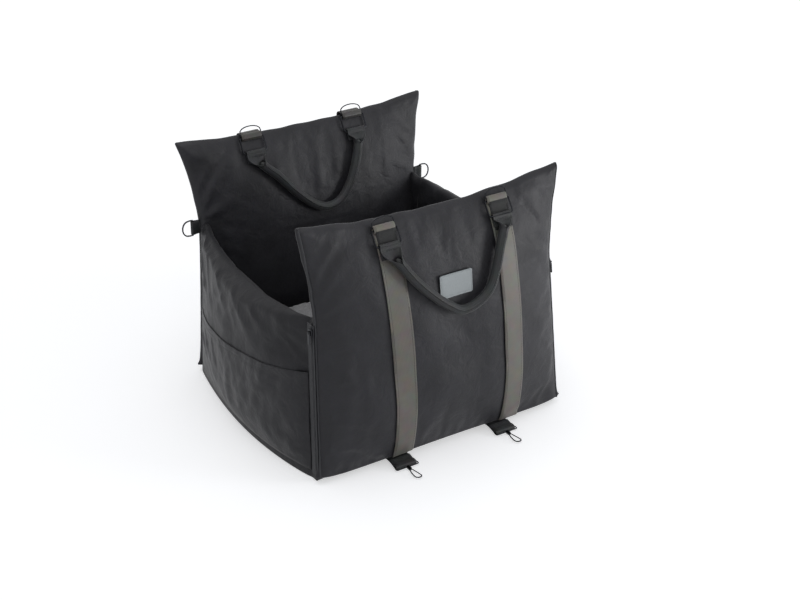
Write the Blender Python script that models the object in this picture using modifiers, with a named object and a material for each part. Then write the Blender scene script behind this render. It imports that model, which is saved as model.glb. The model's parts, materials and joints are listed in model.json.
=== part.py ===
# Dog car seat: a soft tote-shaped seat with two tall padded panels, two padded
# side walls with pockets, a base pad with a board, a plush cushion, webbing
# straps with buckles and handles, corner rings, zips and tether hooks.
# Units are metres. X runs along the front panel, -Y faces the front, Z is up.
# The origin is the middle of the base, on the ground.

import math

import bmesh
import bpy
from mathutils import Matrix, Vector

# Overall sizes of the sewn body
base_half_width = 0.250          # corner seam to centre, at the ground
front_waist_half_width = 0.237   # front corner seam to centre, at the top of the side walls
rear_waist_half_width = 0.231    # rear corner seam to centre, at the same height
tip_half_width = 0.256           # pointed top corners of the two tall panels
half_depth = 0.222               # panel seam to centre, at the ground
front_panel_height = 0.458       # top corners of the front panel
front_edge_dip = 0.022           # how much lower its top edge is half way along
front_middle_height = front_panel_height - front_edge_dip
rear_panel_height = 0.452
rear_edge_dip = 0.016
rear_middle_height = rear_panel_height - rear_edge_dip
panel_lift = 0.005               # lower corners of a tall panel above the ground
panel_foot_arch = 0.008          # how much higher its lower edge is half way along
front_lean = 0.046               # how far the front panel's top leans in over the seat
rear_lean = 0.035                # how far the rear panel's top leans out
rear_lean_power = 3              # above 1 the rear panel leans out mostly near its top
rim_half = 0.004                 # half the thickness of a panel at its seam
outer_bulge = 0.046              # how far the padding stands out of a panel's seam, outside
front_inner_bulge = 0.018        # the same inside, at the front
rear_inner_bulge = 0.030         # the same inside, at the rear
bulge_foot_share = 0.30          # part of the bulge that is left at the lower edge
bulge_rise_share = 0.35          # part of the height over which it grows to full size
bulge_top_power = 6
bulge_side_power = 3
bulge_side_fullness_power = 0.8
tip_power = 2.5
tip_flare_power = 1.6
soft_gap = 0.0006                # between two padded faces that touch
hard_gap = 0.0003                # between two firm faces that touch

# Side walls
side_height = 0.292
side_rear_rise = 0.008
side_sag = 0.010
wall_foot = 0.001
wall_end_thickness = 0.020
wall_middle_thickness = 0.042
wall_bow_low = 0.027             # outward bow of a side wall at the ground
wall_bow_high = 0.036            # the same at its top
wall_belly = 0.010               # extra bow half way up
wall_swell_power = 0.9           # below 1 the swell lies nearer the front
wall_fullness_power = 0.85
zip_land = 0.016                 # flat front end of a side wall, where the zip is sewn
wall_outer_round = 0.022         # how far the top rolls down to the outer face
wall_inner_round = 0.040         # the same to the inner face

# Pockets on the side walls
pocket_cloth = 0.0025
pocket_depth = 0.010
pocket_edge_gap = 0.0009
pocket_rear_share = 0.93         # rear end of the pocket, from -1 to 1 along the wall
pocket_foot = 0.016
pocket_front_height = 0.194
pocket_rear_height = 0.143
pocket_sag = 0.004
pocket_rise_share = 0.25         # part of its height over which the pocket swells out
pocket_full_power = 4

# Base pad, board and cushion
base_thickness = 0.022
base_round = 0.006
pad_side_gap = 0.0012            # between the base pad and the side walls
board_thickness = 0.003
board_inset = 0.006
board_corner = 0.020
cushion_side_inset = 0.0335      # from the corner seams at the ground in to the cushion's side
cushion_front_inset = 0.058      # the same from the panels' seams to its two ends
cushion_rear_inset = 0.046
cushion_half_width = base_half_width - cushion_side_inset
cushion_front = cushion_front_inset - half_depth
cushion_rear = half_depth - cushion_rear_inset
cushion_thickness = 0.094
cushion_crown = 0.013
cushion_draw = 0.008
cushion_edge_round = 0.013
cushion_full_power = 4
cushion_edge_power = 7

# Webbing on the tall panels
strap_half_width = 0.0195
front_strap_offset = 0.111       # half the distance between the middles of the two front straps
front_strap_middle = 0.006       # half way between them, from the middle of the panel
front_strap_slant = 0.012        # how far the front straps' feet lie to the right of their tops
rear_strap_offset = 0.1055
rear_strap_middle = -0.0075
strap_thickness = 0.0018
strap_gap = 0.0008
strap_foot = 0.014
fold_wall = 0.0022               # webbing thickness round the buckle
fold_cavity = 0.0020             # inside radius of the fold
fold_back_gap = 0.0005
fold_tongue = 0.010              # sewn double layer below the fold
fold_tongue_thickness = 0.0042
strap_climb_share = 0.86         # part of a rear strap's points that lie on the outer face
fold_close_deg = 130.0           # where the fold turns in to its sewn tongue
bar_spacing = 0.0042             # buckle bar to ring bar inside the fold
front_fold_drop = 0.0125         # from the middle of the top edge down to the buckle's bar
front_fold_height = front_middle_height - front_fold_drop
rear_fold_drop = 0.0030
rear_fold_height = rear_middle_height - rear_fold_drop

# Buckles and small rings at the straps
buckle_wire = 0.0015
buckle_half_width = 0.0238
buckle_length = 0.0277
buckle_corner = 0.0035
ring_wire = 0.0011
ring_half_width = 0.0209
ring_length = 0.0160
ring_straight_share = 0.30       # part of a ring's reach before its bow begins
ring_bow_power = 0.8
front_ring_tilt_deg = 12.0
rear_ring_tilt_deg = 24.0

# Handles
handle_radius = 0.0080
handle_web_half_width = 0.0185
handle_web_half_thickness = 0.0020
handle_loop_wall = 0.0021
handle_loop_cavity = 0.0021
handle_web_share = 0.08          # part of the handle's length that stays flat, at each end
handle_taper_share = 0.055
handle_stand_off = 0.0030
handle_loop_tongue = 0.011
handle_flat_power = 0.35         # the flat webbing's section: 1 is round, 0 is square
loop_open_deg = 112.0            # half of the turn that a loop makes round its bar
tangent_share = 0.01
front_handle_depth = 0.166       # from the middle of the top edge down to the lowest grip
front_handle_low = front_middle_height - front_handle_depth
rear_handle_depth = 0.148
rear_handle_low = rear_middle_height - rear_handle_depth
# Route of each handle, as shares of the way between its two bars and of its drop below them
front_handle_swing_share = [-1.0, -0.99, -0.90, -0.70, -0.44, -0.17, 0.06, 0.34, 0.57, 0.725,
                            0.845, 0.95, 0.99, 1.0]
front_handle_drop_share = [0.0, 0.11, 0.26, 0.49, 0.715, 0.90, 1.0, 0.96, 0.83, 0.595,
                           0.355, 0.19, 0.09, 0.0]
rear_handle_swing_share = [-1.0, -0.99, -0.90, -0.70, -0.445, -0.13, 0.16, 0.44, 0.67, 0.84,
                           0.95, 0.995, 1.0]
rear_handle_drop_share = [0.0, 0.12, 0.24, 0.39, 0.635, 0.88, 1.0, 0.955, 0.75, 0.48,
                          0.25, 0.11, 0.0]

# Label on the front panel
label_half_width = 0.032
label_half_height = 0.0205
label_middle_x = 0.010
label_drop = 0.123               # from the middle of the top edge down to the label's middle
label_middle_height = front_middle_height - label_drop
label_thickness = 0.0014

# Zips at the two front corners
zip_foot = 0.012
zip_head_drop = 0.008            # from the side wall's top down to the zip's upper end
zip_head = side_height - zip_head_drop
tape_thickness = 0.0012
side_tape_width = 0.013
front_tape_width = 0.0070
coil_half_width = 0.0012
coil_height = 0.0022
tape_part_gap = 0.0003
slider_length = 0.011
slider_half_width = 0.0042
slider_thickness = 0.0018
slider_ear_height = 0.0036
slider_ear_thickness = 0.0010
slider_ear_half_length = 0.0014
slider_pin_radius = 0.0006
slider_below_head = 0.006
puller_length = 0.021
puller_half_width = 0.0030
puller_thickness = 0.0012
puller_corner = 0.0012
puller_neck = 0.0034
puller_eye_half_width = 0.0011
puller_eye_radius = 0.0016
puller_hole_radius = 0.0009

# Webbing tabs and rings at the two rear corners
tab_drop = 0.001                 # from the side wall's top down to the tab's middle
tab_height = side_height - tab_drop
tab_half_width = 0.0125
tab_length = 0.013
tab_wall = 0.0019
tab_cavity = 0.0019
corner_ring_wire = 0.0014
corner_ring_half_height = 0.0149
corner_ring_reach = 0.0200

# Tether straps and hooks under the front edge
tether_reach = 0.0180            # from the front panel's foot to the bar in the strap's end
tether_offset = 0.104
tether_middle = 0.005
tether_thickness = 0.0020
tether_half_width = 0.0200
tether_lie = 0.0003
tether_root_share = 0.20         # how far the strap's root lies under the base pad's rounded edge
tether_cavity = 0.0019
tether_wall = 0.0020
tether_tongue = 0.020
hook_wire = 0.0011
hook_bar_half_width = 0.0220
hook_bar_length = 0.0075
collar_radius = 0.0034
collar_length = 0.0066
collar_bore = 0.0016
collar_bore_depth = 0.0046
stem_clearance = 0.0004
washer_radius = 0.0022
snap_length = 0.0290
snap_half_width = 0.0060
gate_wire = 0.0009
gate_gap = 0.0004
# Route of the snap hook's wire and of its gate, as shares of its length and half width
snap_outline_shares = [(0, 0), (0.10, -0.45), (0.35, -0.80), (0.72, -1.0), (0.90, -0.85),
                       (0.99, -0.30), (1.0, 0.30), (0.95, 0.80), (0.84, 0.98)]
gate_route_shares = [(0.055, 0.30), (0.50, 0.72), (0.824, 0.98)]

# Fineness of the curved forms: cuts along each axis of a block, sides and steps of round ones
panel_cuts = (13, 13, 0)
wall_cuts = (13, 7, 5)
pocket_cuts = (13, 7, 0)
pad_cuts = (0, 7, 0)
cushion_cuts = (13, 11, 5)
label_cuts = (5, 3, 0)
front_strap_cuts = (3, 20, 0)
rear_strap_cuts = (3, 27, 0)
plain_cuts = (0, 0, 0)
handle_cuts = 41
handle_sides = 10
loop_arc_steps = 7
fold_close_steps = 2
corner_arc_steps = 4
bow_steps = 10
pin_sides = 8
collar_sides = 12
wire_resolution = 1
fine_wire_resolution = 2

# Working tolerances
cut_overrun = 0.001
weld_distance = 0.00001
slope_step = 0.001
smooth_deg = 50.0

collection_name = "dog_car_seat"

# Colours and finishes, as colour, roughness and metallic value
finishes = {
    "shell_fabric": ((0.036, 0.036, 0.039, 1.0), 0.62, 0.0),
    "pocket_fabric": ((0.040, 0.041, 0.044, 1.0), 0.60, 0.0),
    "base_fabric": ((0.030, 0.030, 0.032, 1.0), 0.80, 0.0),
    "base_board": ((0.060, 0.060, 0.064, 1.0), 0.55, 0.0),
    "plush": ((0.230, 0.228, 0.226, 1.0), 0.95, 0.0),
    "grey_webbing": ((0.165, 0.160, 0.145, 1.0), 0.75, 0.0),
    "black_webbing": ((0.045, 0.047, 0.050, 1.0), 0.70, 0.0),
    "grey_patch": ((0.250, 0.265, 0.275, 1.0), 0.60, 0.0),
    "zip_tape": ((0.030, 0.031, 0.034, 1.0), 0.70, 0.0),
    "gunmetal": ((0.070, 0.070, 0.074, 1.0), 0.32, 0.9),
}


# Scene housekeeping

def clear_scene():
    for scene_object in list(bpy.data.objects):
        bpy.data.objects.remove(scene_object, do_unlink=True)
    for old_collection in list(bpy.data.collections):
        bpy.data.collections.remove(old_collection)


def new_collection(name):
    collection = bpy.data.collections.new(name)
    bpy.context.scene.collection.children.link(collection)
    return collection


def make_material(name):
    colour, roughness, metallic = finishes[name]
    material = bpy.data.materials.new(name)
    material.use_nodes = True
    shader = material.node_tree.nodes["Principled BSDF"]
    shader.inputs["Base Color"].default_value = colour
    shader.inputs["Roughness"].default_value = roughness
    shader.inputs["Metallic"].default_value = metallic
    material.diffuse_color = colour
    return material


def add_part(name, mesh, finish, pivot=None):
    """Links a mesh, given in world places, as a named piece whose origin is its pivot."""
    origin = Vector(pivot) if pivot is not None else Vector((0, 0, 0))
    mesh.transform(Matrix.Translation(-origin))
    mesh.materials.clear()
    mesh.materials.append(make_material(finish))
    mesh.shade_smooth()
    mesh.set_sharp_from_angle(angle=math.radians(smooth_deg))
    part = bpy.data.objects.new(name, mesh)
    part.location = origin
    parts.objects.link(part)
    return part


def face_outwards(bm):
    bmesh.ops.recalc_face_normals(bm, faces=bm.faces)
    if bm.calc_volume(signed=True) < 0:
        bmesh.ops.reverse_faces(bm, faces=bm.faces)


def mesh_from(bm, name):
    face_outwards(bm)
    mesh = bpy.data.meshes.new(name)
    bm.to_mesh(mesh)
    bm.free()
    return mesh


# Forms

def cut_block(cuts):
    """A closed block from -1 to 1, cut into a grid along each of its axes."""
    bm = bmesh.new()
    bmesh.ops.create_cube(bm, size=2)
    for axis, count in enumerate(cuts):
        if count:
            along = [e for e in bm.edges if abs(e.verts[0].co[axis] - e.verts[1].co[axis]) > 1]
            bmesh.ops.subdivide_edges(bm, edges=along, cuts=count, use_grid_fill=True)
    return bm


def shaped_block(name, cuts, place):
    """The cut block with each corner moved to place(a, b, c)."""
    bm = cut_block(cuts)
    for vert in bm.verts:
        vert.co = Vector(place(*vert.co))
    return mesh_from(bm, name)


def wire_mesh(name, points, radius, closed, resolution=wire_resolution):
    """A round wire along a run of points."""
    curve = bpy.data.curves.new(name, "CURVE")
    curve.dimensions = "3D"
    curve.bevel_depth = radius
    curve.bevel_resolution = resolution
    curve.use_fill_caps = True
    spline = curve.splines.new("POLY")
    spline.points.add(len(points) - 1)
    for point, target in zip(spline.points, points):
        point.co = (*target, 1)
    spline.use_cyclic_u = closed
    return mesh_of_curve(name, curve)


def extruded_outline(name, outlines, half_width, to_world):
    """Flat outlines, the later ones holes, extruded both ways and placed by a matrix."""
    curve = bpy.data.curves.new(name, "CURVE")
    curve.dimensions = "2D"
    curve.fill_mode = "BOTH"
    curve.extrude = half_width
    for outline in outlines:
        spline = curve.splines.new("POLY")
        spline.points.add(len(outline) - 1)
        for point, (a, b) in zip(spline.points, outline):
            point.co = (a, b, 0, 1)
        spline.use_cyclic_u = True
    return mesh_of_curve(name, curve, to_world)


def mesh_of_curve(name, curve, to_world=None):
    guide = bpy.data.objects.new(name, curve)
    bpy.context.scene.collection.objects.link(guide)
    bpy.context.view_layer.update()
    evaluated = guide.evaluated_get(bpy.context.evaluated_depsgraph_get())
    mesh = bpy.data.meshes.new_from_object(evaluated)
    bpy.data.objects.remove(guide, do_unlink=True)
    bpy.data.curves.remove(curve)
    if to_world is not None:
        mesh.transform(to_world)
    bm = bmesh.new()
    bm.from_mesh(mesh)
    bmesh.ops.remove_doubles(bm, verts=bm.verts, dist=weld_distance)
    face_outwards(bm)
    bm.to_mesh(mesh)
    bm.free()
    return mesh


def cylinder_mesh(name, start, end, radius, sides=collar_sides):
    start = Vector(start)
    end = Vector(end)
    run = end - start
    bm = bmesh.new()
    bmesh.ops.create_cone(bm, cap_ends=True, segments=sides, radius1=radius, radius2=radius,
                          depth=run.length)
    turn = run.to_track_quat("Z", "Y").to_matrix().to_4x4()
    bmesh.ops.transform(bm, matrix=Matrix.Translation((start + end) / 2) @ turn, verts=bm.verts)
    return mesh_from(bm, name)


def box_mesh(name, low, high):
    def place(a, b, c):
        return [lo + (hi - lo) * (t + 1) / 2 for lo, hi, t in zip(low, high, (a, b, c))]
    return shaped_block(name, plain_cuts, place)


def combined(name, base_mesh, other_meshes, operation):
    """One mesh from a Boolean of several."""
    base = bpy.data.objects.new(name + "_base", base_mesh)
    bpy.context.scene.collection.objects.link(base)
    for index, other_mesh in enumerate(other_meshes):
        tool = bpy.data.objects.new(f"{name}_tool_{index}", other_mesh)
        tool.hide_render = True
        tool.display_type = "WIRE"
        cutters.objects.link(tool)
        modifier = base.modifiers.new(f"join_{index}", "BOOLEAN")
        modifier.operation = operation
        modifier.solver = "EXACT"
        modifier.object = tool
        bpy.context.view_layer.update()
        evaluated = base.evaluated_get(bpy.context.evaluated_depsgraph_get())
        result = bpy.data.meshes.new_from_object(evaluated)
        base.modifiers.remove(modifier)
        base.data = result
        bpy.data.objects.remove(tool, do_unlink=True)
    mesh = base.data
    bpy.data.objects.remove(base, do_unlink=True)
    bm = bmesh.new()
    bm.from_mesh(mesh)
    bmesh.ops.remove_doubles(bm, verts=bm.verts, dist=weld_distance)
    bmesh.ops.dissolve_degenerate(bm, edges=bm.edges, dist=weld_distance)
    bm.to_mesh(mesh)
    bm.free()
    return mesh


def arc_points(centre, radius, start_deg, end_deg, steps):
    """Points on an arc in a flat plane, both ends included."""
    points = []
    for step in range(steps + 1):
        angle = math.radians(start_deg + (end_deg - start_deg) * step / steps)
        points.append((centre[0] + radius * math.cos(angle), centre[1] + radius * math.sin(angle)))
    return points


def blend(low, high, share):
    return low + (high - low) * share


def bounded(value, low, high):
    return max(low, min(high, value))


# The sewn body's faces, as functions of place

front = -1
rear = 1
land_share = zip_land / half_depth


def seam_half_width(along, z):
    """Half width between the corner seams: straight up to the side walls' top, then flared."""
    waist = blend(front_waist_half_width, rear_waist_half_width, (along + 1) / 2)
    height = blend(front_panel_height, rear_panel_height, (along + 1) / 2)
    if z <= side_height:
        return blend(base_half_width, waist, z / side_height)
    share = bounded((z - side_height) / (height - side_height), 0, 1)
    return blend(waist, tip_half_width, share ** tip_flare_power)


def seam_y(panel, z):
    if panel == front:
        return front_lean * z / front_panel_height - half_depth
    return half_depth + rear_lean * (z / rear_panel_height) ** rear_lean_power


def panel_top(panel, across):
    if panel == front:
        return blend(front_middle_height, front_panel_height, abs(across) ** tip_power)
    return blend(rear_middle_height, rear_panel_height, abs(across) ** tip_power)


def panel_foot(across):
    return panel_lift + panel_foot_arch * (1 - across * across)


def bulge_share(across, up):
    """How full a panel is at a place: 1 where the padding stands out most, 0 at the seams."""
    side = max(0.0, 1 - abs(across) ** bulge_side_power) ** bulge_side_fullness_power
    rise = math.sin(math.pi / 2 * min(1.0, up / bulge_rise_share))
    foot = blend(bulge_foot_share, 1, rise)
    return side * foot * (1 - up ** bulge_top_power)


def panel_face(panel, outside, x, z):
    """The Y place of a tall panel's outer or inner face."""
    across = bounded(x / seam_half_width(panel, z), -1, 1)
    foot = panel_foot(across)
    up = bounded((z - foot) / (panel_top(panel, across) - foot), 0, 1)
    inner_bulge = front_inner_bulge if panel == front else rear_inner_bulge
    bulge = outer_bulge if outside else inner_bulge
    direction = panel if outside else -panel
    return seam_y(panel, z) + direction * (rim_half + bulge * bulge_share(across, up))


def panel_normal(panel, outside, x, z):
    """The direction straight off a tall panel's face."""
    slope_x = (panel_face(panel, outside, x + slope_step, z)
               - panel_face(panel, outside, x - slope_step, z)) / (2 * slope_step)
    slope_z = (panel_face(panel, outside, x, z + slope_step)
               - panel_face(panel, outside, x, z - slope_step)) / (2 * slope_step)
    outward = panel if outside else -panel
    return Vector((-slope_x, 1, -slope_z)).normalized() * outward


def wall_top(along):
    rise = side_rear_rise * (along + 1) / 2
    return side_height + rise - side_sag * (1 - along * along)


def wall_swell(along):
    """How far a side wall swells at a place: 0 on the flat end and at the rear seam, 1 between."""
    behind_land = bounded((along + 1 - land_share) / (2 - land_share), 0, 1)
    return abs(math.sin(math.pi * behind_land ** wall_swell_power)) ** wall_fullness_power


def wall_outer_x(along, z):
    """Distance of a side wall's outer face from the middle plane."""
    bow = blend(wall_bow_low, wall_bow_high, z / side_height)
    bow += wall_belly * math.sin(math.pi * bounded(z / side_height, 0, 1))
    return seam_half_width(along, z) + bow * wall_swell(along)


def wall_thickness(along):
    return blend(wall_end_thickness, wall_middle_thickness, wall_swell(along))


def wall_y(along, x, z):
    """Y place along a side wall: its two ends follow the panels' inner faces."""
    low = panel_face(front, False, x, z) + soft_gap
    high = panel_face(rear, False, x, z) - soft_gap
    return blend(low, high, (along + 1) / 2)


def tall_panel(panel, name):
    def place(a, b, c):
        up = (b + 1) / 2
        z = blend(panel_foot(a), panel_top(panel, a), up)
        x = a * seam_half_width(panel, z)
        return x, panel_face(panel, c * panel > 0, x, z), z
    mesh = shaped_block(name, panel_cuts, place)
    add_part(name, mesh, "shell_fabric", pivot=panel_pivots[panel])


def side_wall(side, name):
    first_line = 2 / (wall_cuts[0] + 1)

    def place(a, b, c):
        along = -1 + (a + 1) * land_share / first_line
        if a + 1 > first_line:
            along = blend(land_share - 1, 1, (a + 1 - first_line) / (2 - first_line))
        round_share = 1 - math.cos(c * math.pi / 2)
        top_round = wall_outer_round if c > 0 else wall_inner_round
        top = wall_top(along) - top_round * round_share
        z = blend(wall_foot, top, (b + 1) / 2)
        inward = wall_thickness(along) * (1 - math.sin(c * math.pi / 2)) / 2
        x = wall_outer_x(along, z) - inward
        return side * x, wall_y(along, x, z), z
    mesh = shaped_block(name, wall_cuts, place)
    add_part(name, mesh, "shell_fabric")


def pocket_top(share):
    """The elastic edge falls from front to rear and sags a little between."""
    sag = pocket_sag * math.sin(math.pi * share)
    return blend(pocket_front_height, pocket_rear_height, share) - sag


def pocket(side, name):
    def place(a, b, c):
        share = (a + 1) / 2
        along = blend(land_share - 1, pocket_rear_share, share)
        up = (b + 1) / 2
        z = blend(pocket_foot, pocket_top(share), up)
        rise = math.sin(math.pi / 2 * min(1.0, up / pocket_rise_share))
        fullness = (1 - a ** pocket_full_power) * rise
        stand_off = blend(pocket_edge_gap, pocket_depth, fullness) + pocket_cloth * (c + 1) / 2
        x = wall_outer_x(along, z)
        return side * (x + stand_off), wall_y(along, x, z), z
    mesh = shaped_block(name, pocket_cuts, place)
    add_part(name, mesh, "pocket_fabric")


def base_parts():
    front_edge = panel_face(front, False, 0, base_thickness) + soft_gap
    rear_edge = panel_face(rear, False, 0, base_thickness) - soft_gap

    def pad_place(a, b, c):
        z = base_thickness * (c + 1) / 2
        half_width = wall_outer_x(b, z) - wall_thickness(b) - pad_side_gap
        return a * half_width, blend(front_edge, rear_edge, (b + 1) / 2), z
    pad = shaped_block("base_pad", pad_cuts, pad_place)
    pad_object = add_part("base_pad", pad, "base_fabric")
    bevel = pad_object.modifiers.new("rounded_edges", "BEVEL")
    bevel.width = base_round
    bevel.segments = 2
    bevel.limit_method = "ANGLE"

    half_width = seam_half_width(rear, base_thickness) - wall_end_thickness - board_inset
    middle = (front_edge + rear_edge) / 2
    half_length = (rear_edge - front_edge) / 2 - board_inset
    outline = rounded_rectangle(half_width, half_length, board_corner)
    height = base_thickness + hard_gap + board_thickness / 2
    board = extruded_outline("base_board", [outline], board_thickness / 2,
                             Matrix.Translation((0, middle, height)))
    add_part("base_board", board, "base_board")


def rounded_rectangle(half_x, half_y, corner):
    points = []
    for index, (sx, sy) in enumerate(((1, 1), (-1, 1), (-1, -1), (1, -1))):
        centre = (sx * (half_x - corner), sy * (half_y - corner))
        points += arc_points(centre, corner, 90 * index, 90 * (index + 1), corner_arc_steps)
    return points


def cushion():
    low = base_thickness + board_thickness + hard_gap + soft_gap
    middle_y = (cushion_front + cushion_rear) / 2
    half_length = (cushion_rear - cushion_front) / 2

    def place(a, b, c):
        rim = max(abs(a), abs(b))
        full = math.sqrt(max(0.0, (1 - a ** cushion_full_power) * (1 - b ** cushion_full_power)))
        draw = cushion_draw * (1 - c * c) * (1 - (a * b) ** 2) * rim ** cushion_full_power
        corner = cushion_edge_round * abs(c) ** cushion_edge_power * rim ** cushion_edge_power
        x = a * (cushion_half_width - draw - corner)
        y = middle_y + b * (half_length - draw - corner)
        top = cushion_thickness - cushion_crown * (1 - full)
        half_thickness = cushion_thickness / 2
        z = blend(half_thickness, top, c) if c > 0 else blend(half_thickness, 0, -c)
        return x, y, low + z
    mesh = shaped_block("cushion", cushion_cuts, place)
    add_part("cushion", mesh, "plush")


def label():
    def place(a, b, c):
        x = label_middle_x + a * label_half_width
        z = label_middle_height + b * label_half_height
        y = panel_face(front, True, x, z) - strap_gap - label_thickness * (c + 1) / 2
        return x, y, z
    mesh = shaped_block("label", label_cuts, place)
    add_part("label", mesh, "grey_patch", pivot=front_pivot)


# Webbing straps with the fold that holds the buckle and the small ring

def fold_outlines():
    """Side view of a fold: the buckle's bar at 0, the ring's bar above it, the sewn tongue below."""
    outer = fold_cavity + fold_wall
    outline = arc_points((bar_spacing, 0), outer, -90, 90, loop_arc_steps)
    outline += arc_points((0, 0), outer, 90, fold_close_deg, fold_close_steps)
    outline += [(-fold_tongue, fold_tongue_thickness - outer), (-fold_tongue, -outer)]
    hole = arc_points((bar_spacing, 0), fold_cavity, -90, 90, loop_arc_steps)
    hole += arc_points((0, 0), fold_cavity, 90, 270, loop_arc_steps)
    return [outline, hole]


def strap_x(panel, side):
    if panel == front:
        return front_strap_middle + side * front_strap_offset
    return rear_strap_middle + side * rear_strap_offset


def on_outside(panel):
    """The front panel carries its handle outside, the rear panel inside."""
    return panel == front


def off_panel(panel):
    """The Y direction away from the face that carries the handle."""
    return panel if on_outside(panel) else -panel


def strap_edge(panel):
    """The strap edge nearest the middle, where the padding stands out most; one for both straps."""
    if panel == front:
        return front_strap_offset - abs(front_strap_middle) - strap_half_width
    return rear_strap_offset - abs(rear_strap_middle) - strap_half_width


def fold_frame(panel, side):
    """The buckle's bar in its fold, and the fold's directions along and off the face."""
    edge_x = strap_edge(panel)
    fold_height = front_fold_height if panel == front else rear_fold_height
    top_y = panel_face(panel, on_outside(panel), edge_x, fold_height)
    low_y = panel_face(panel, on_outside(panel), edge_x, fold_height - buckle_length)
    up_slope = Vector((0, top_y - low_y, buckle_length)).normalized()
    away = Vector((0, up_slope.z, -up_slope.y)) * off_panel(panel)
    surface = Vector((strap_x(panel, side), top_y, fold_height))
    buckle_bar = surface + away * (fold_back_gap + fold_wall + fold_cavity)
    return buckle_bar, up_slope, away


def side_view_matrix(place, along, away):
    """Lays a side view down: its first axis along, its second away, its thickness on X."""
    return Matrix.Translation(place) @ Matrix((
        (0, 0, 1, 0), (along.y, away.y, 0, 0), (along.z, away.z, 0, 0), (0, 0, 0, 1)))


def panel_strap(panel, side, name):
    """Webbing on a panel's outer face, up to its fold; at the rear it first crosses the top edge."""
    offset_x = strap_x(panel, side)
    buckle_bar, up_slope, away = fold_frame(panel, side)
    fold = extruded_outline(name, fold_outlines(), strap_half_width,
                            side_view_matrix(buckle_bar, up_slope, away))

    def front_place(a, b, c):
        top = buckle_bar.z - fold_cavity - fold_wall
        z = blend(strap_foot, top, (b + 1) / 2)
        slant = front_strap_slant * (top - z) / (top - strap_foot)
        x = offset_x + slant + a * strap_half_width
        lift = strap_gap + strap_thickness * (c + 1) / 2
        return x, panel_face(front, True, x, z) - lift, z

    def rear_place(a, b, c):
        x = offset_x + a * strap_half_width
        lift = strap_gap + strap_thickness * (c + 1) / 2
        return over_the_top(x, (b + 1) / 2, lift, buckle_bar, up_slope)

    if panel == front:
        strip = shaped_block(name, front_strap_cuts, front_place)
    else:
        strip = shaped_block(name, rear_strap_cuts, rear_place)
    mesh = combined(name, fold, [strip], "UNION")
    add_part(name, mesh, "grey_webbing", pivot=panel_pivots[panel])


def over_the_top(x, along, lift, buckle_bar, up_slope):
    """A point on a rear strap: up the outer face, over the top edge, down to the fold."""
    crest = panel_top(rear, x / tip_half_width) + lift
    shoulder = crest - rim_half - lift
    if along < strap_climb_share:
        z = blend(strap_foot, shoulder, along / strap_climb_share)
        return Vector((x, panel_face(rear, True, x, z) + lift, z))
    turn = (along - strap_climb_share) / (1 - strap_climb_share)
    middle_y = seam_y(rear, shoulder)
    reach = panel_face(rear, True, x, shoulder) + lift - middle_y
    end = Vector((x, buckle_bar.y, buckle_bar.z)) + up_slope * (bar_spacing + fold_cavity + lift / 2)
    peak = Vector((x, middle_y + reach * math.cos(math.pi / 4), crest))
    if turn > 0.5:
        return peak.lerp(end, 2 * turn - 1)
    y = middle_y + reach * math.cos(math.pi * turn / 2)
    return Vector((x, y, blend(shoulder, crest, math.sin(math.pi * turn))))


def wire_loop_points(pivot, reach_direction, half_width, length, corner):
    """Rounded rectangle of wire: one bar through the pivot along X, the other at its reach."""
    flat = rounded_rectangle(half_width, length / 2, corner)
    reach = Vector(reach_direction)
    return [Vector(pivot) + Vector((a, 0, 0)) + reach * (b + length / 2) for a, b in flat]


def half_round_points(pivot, bar_direction, reach_direction, half_width, length):
    """A D of wire: a straight bar through the pivot and a bow at its reach."""
    bar = Vector(bar_direction)
    reach = Vector(reach_direction)
    straight = length * ring_straight_share
    points = [pivot - bar * half_width, pivot + bar * half_width]
    for step in range(bow_steps):
        angle = math.pi * step / (bow_steps - 1)
        rise = straight + (length - straight) * math.sin(angle) ** ring_bow_power
        points.append(pivot + bar * half_width * math.cos(angle) + reach * rise)
    return points


def buckle_and_ring(panel, side, side_name):
    panel_name = "front" if panel == front else "rear"
    buckle_bar, up_slope, away = fold_frame(panel, side)
    ring_bar = buckle_bar + up_slope * bar_spacing
    lower_bar = handle_bar(panel, side)
    down = (lower_bar - buckle_bar).normalized()
    points = wire_loop_points(buckle_bar, down, buckle_half_width, buckle_length, buckle_corner)
    buckle = wire_mesh("buckle", points, buckle_wire, True)
    add_part(f"{panel_name}_buckle_{side_name}", buckle, "gunmetal", pivot=buckle_bar)

    tilt = math.radians(front_ring_tilt_deg if panel == front else rear_ring_tilt_deg)
    upright = Vector((0, math.sin(tilt), math.cos(tilt)))
    ring_points = half_round_points(ring_bar, (1, 0, 0), upright, ring_half_width, ring_length)
    ring = wire_mesh("ring", ring_points, ring_wire, True)
    add_part(f"{panel_name}_strap_ring_{side_name}", ring, "gunmetal", pivot=ring_bar)


def handle_back(panel):
    """How far off the panel's face the handle's back lies; the front one also clears the webbing."""
    return strap_gap + strap_thickness + soft_gap if panel == front else soft_gap


def handle_bar(panel, side):
    """The buckle's lower bar: far enough off the panel for the handle's loop."""
    buckle_bar, up_slope, away = fold_frame(panel, side)
    z = buckle_bar.z - buckle_length * up_slope.z
    face_y = panel_face(panel, on_outside(panel), strap_edge(panel), z)
    surface = Vector((buckle_bar.x, face_y, z))
    target = surface + away * (handle_back(panel) + handle_loop_cavity + handle_loop_wall)
    return buckle_bar + (target - buckle_bar).normalized() * buckle_length


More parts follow.
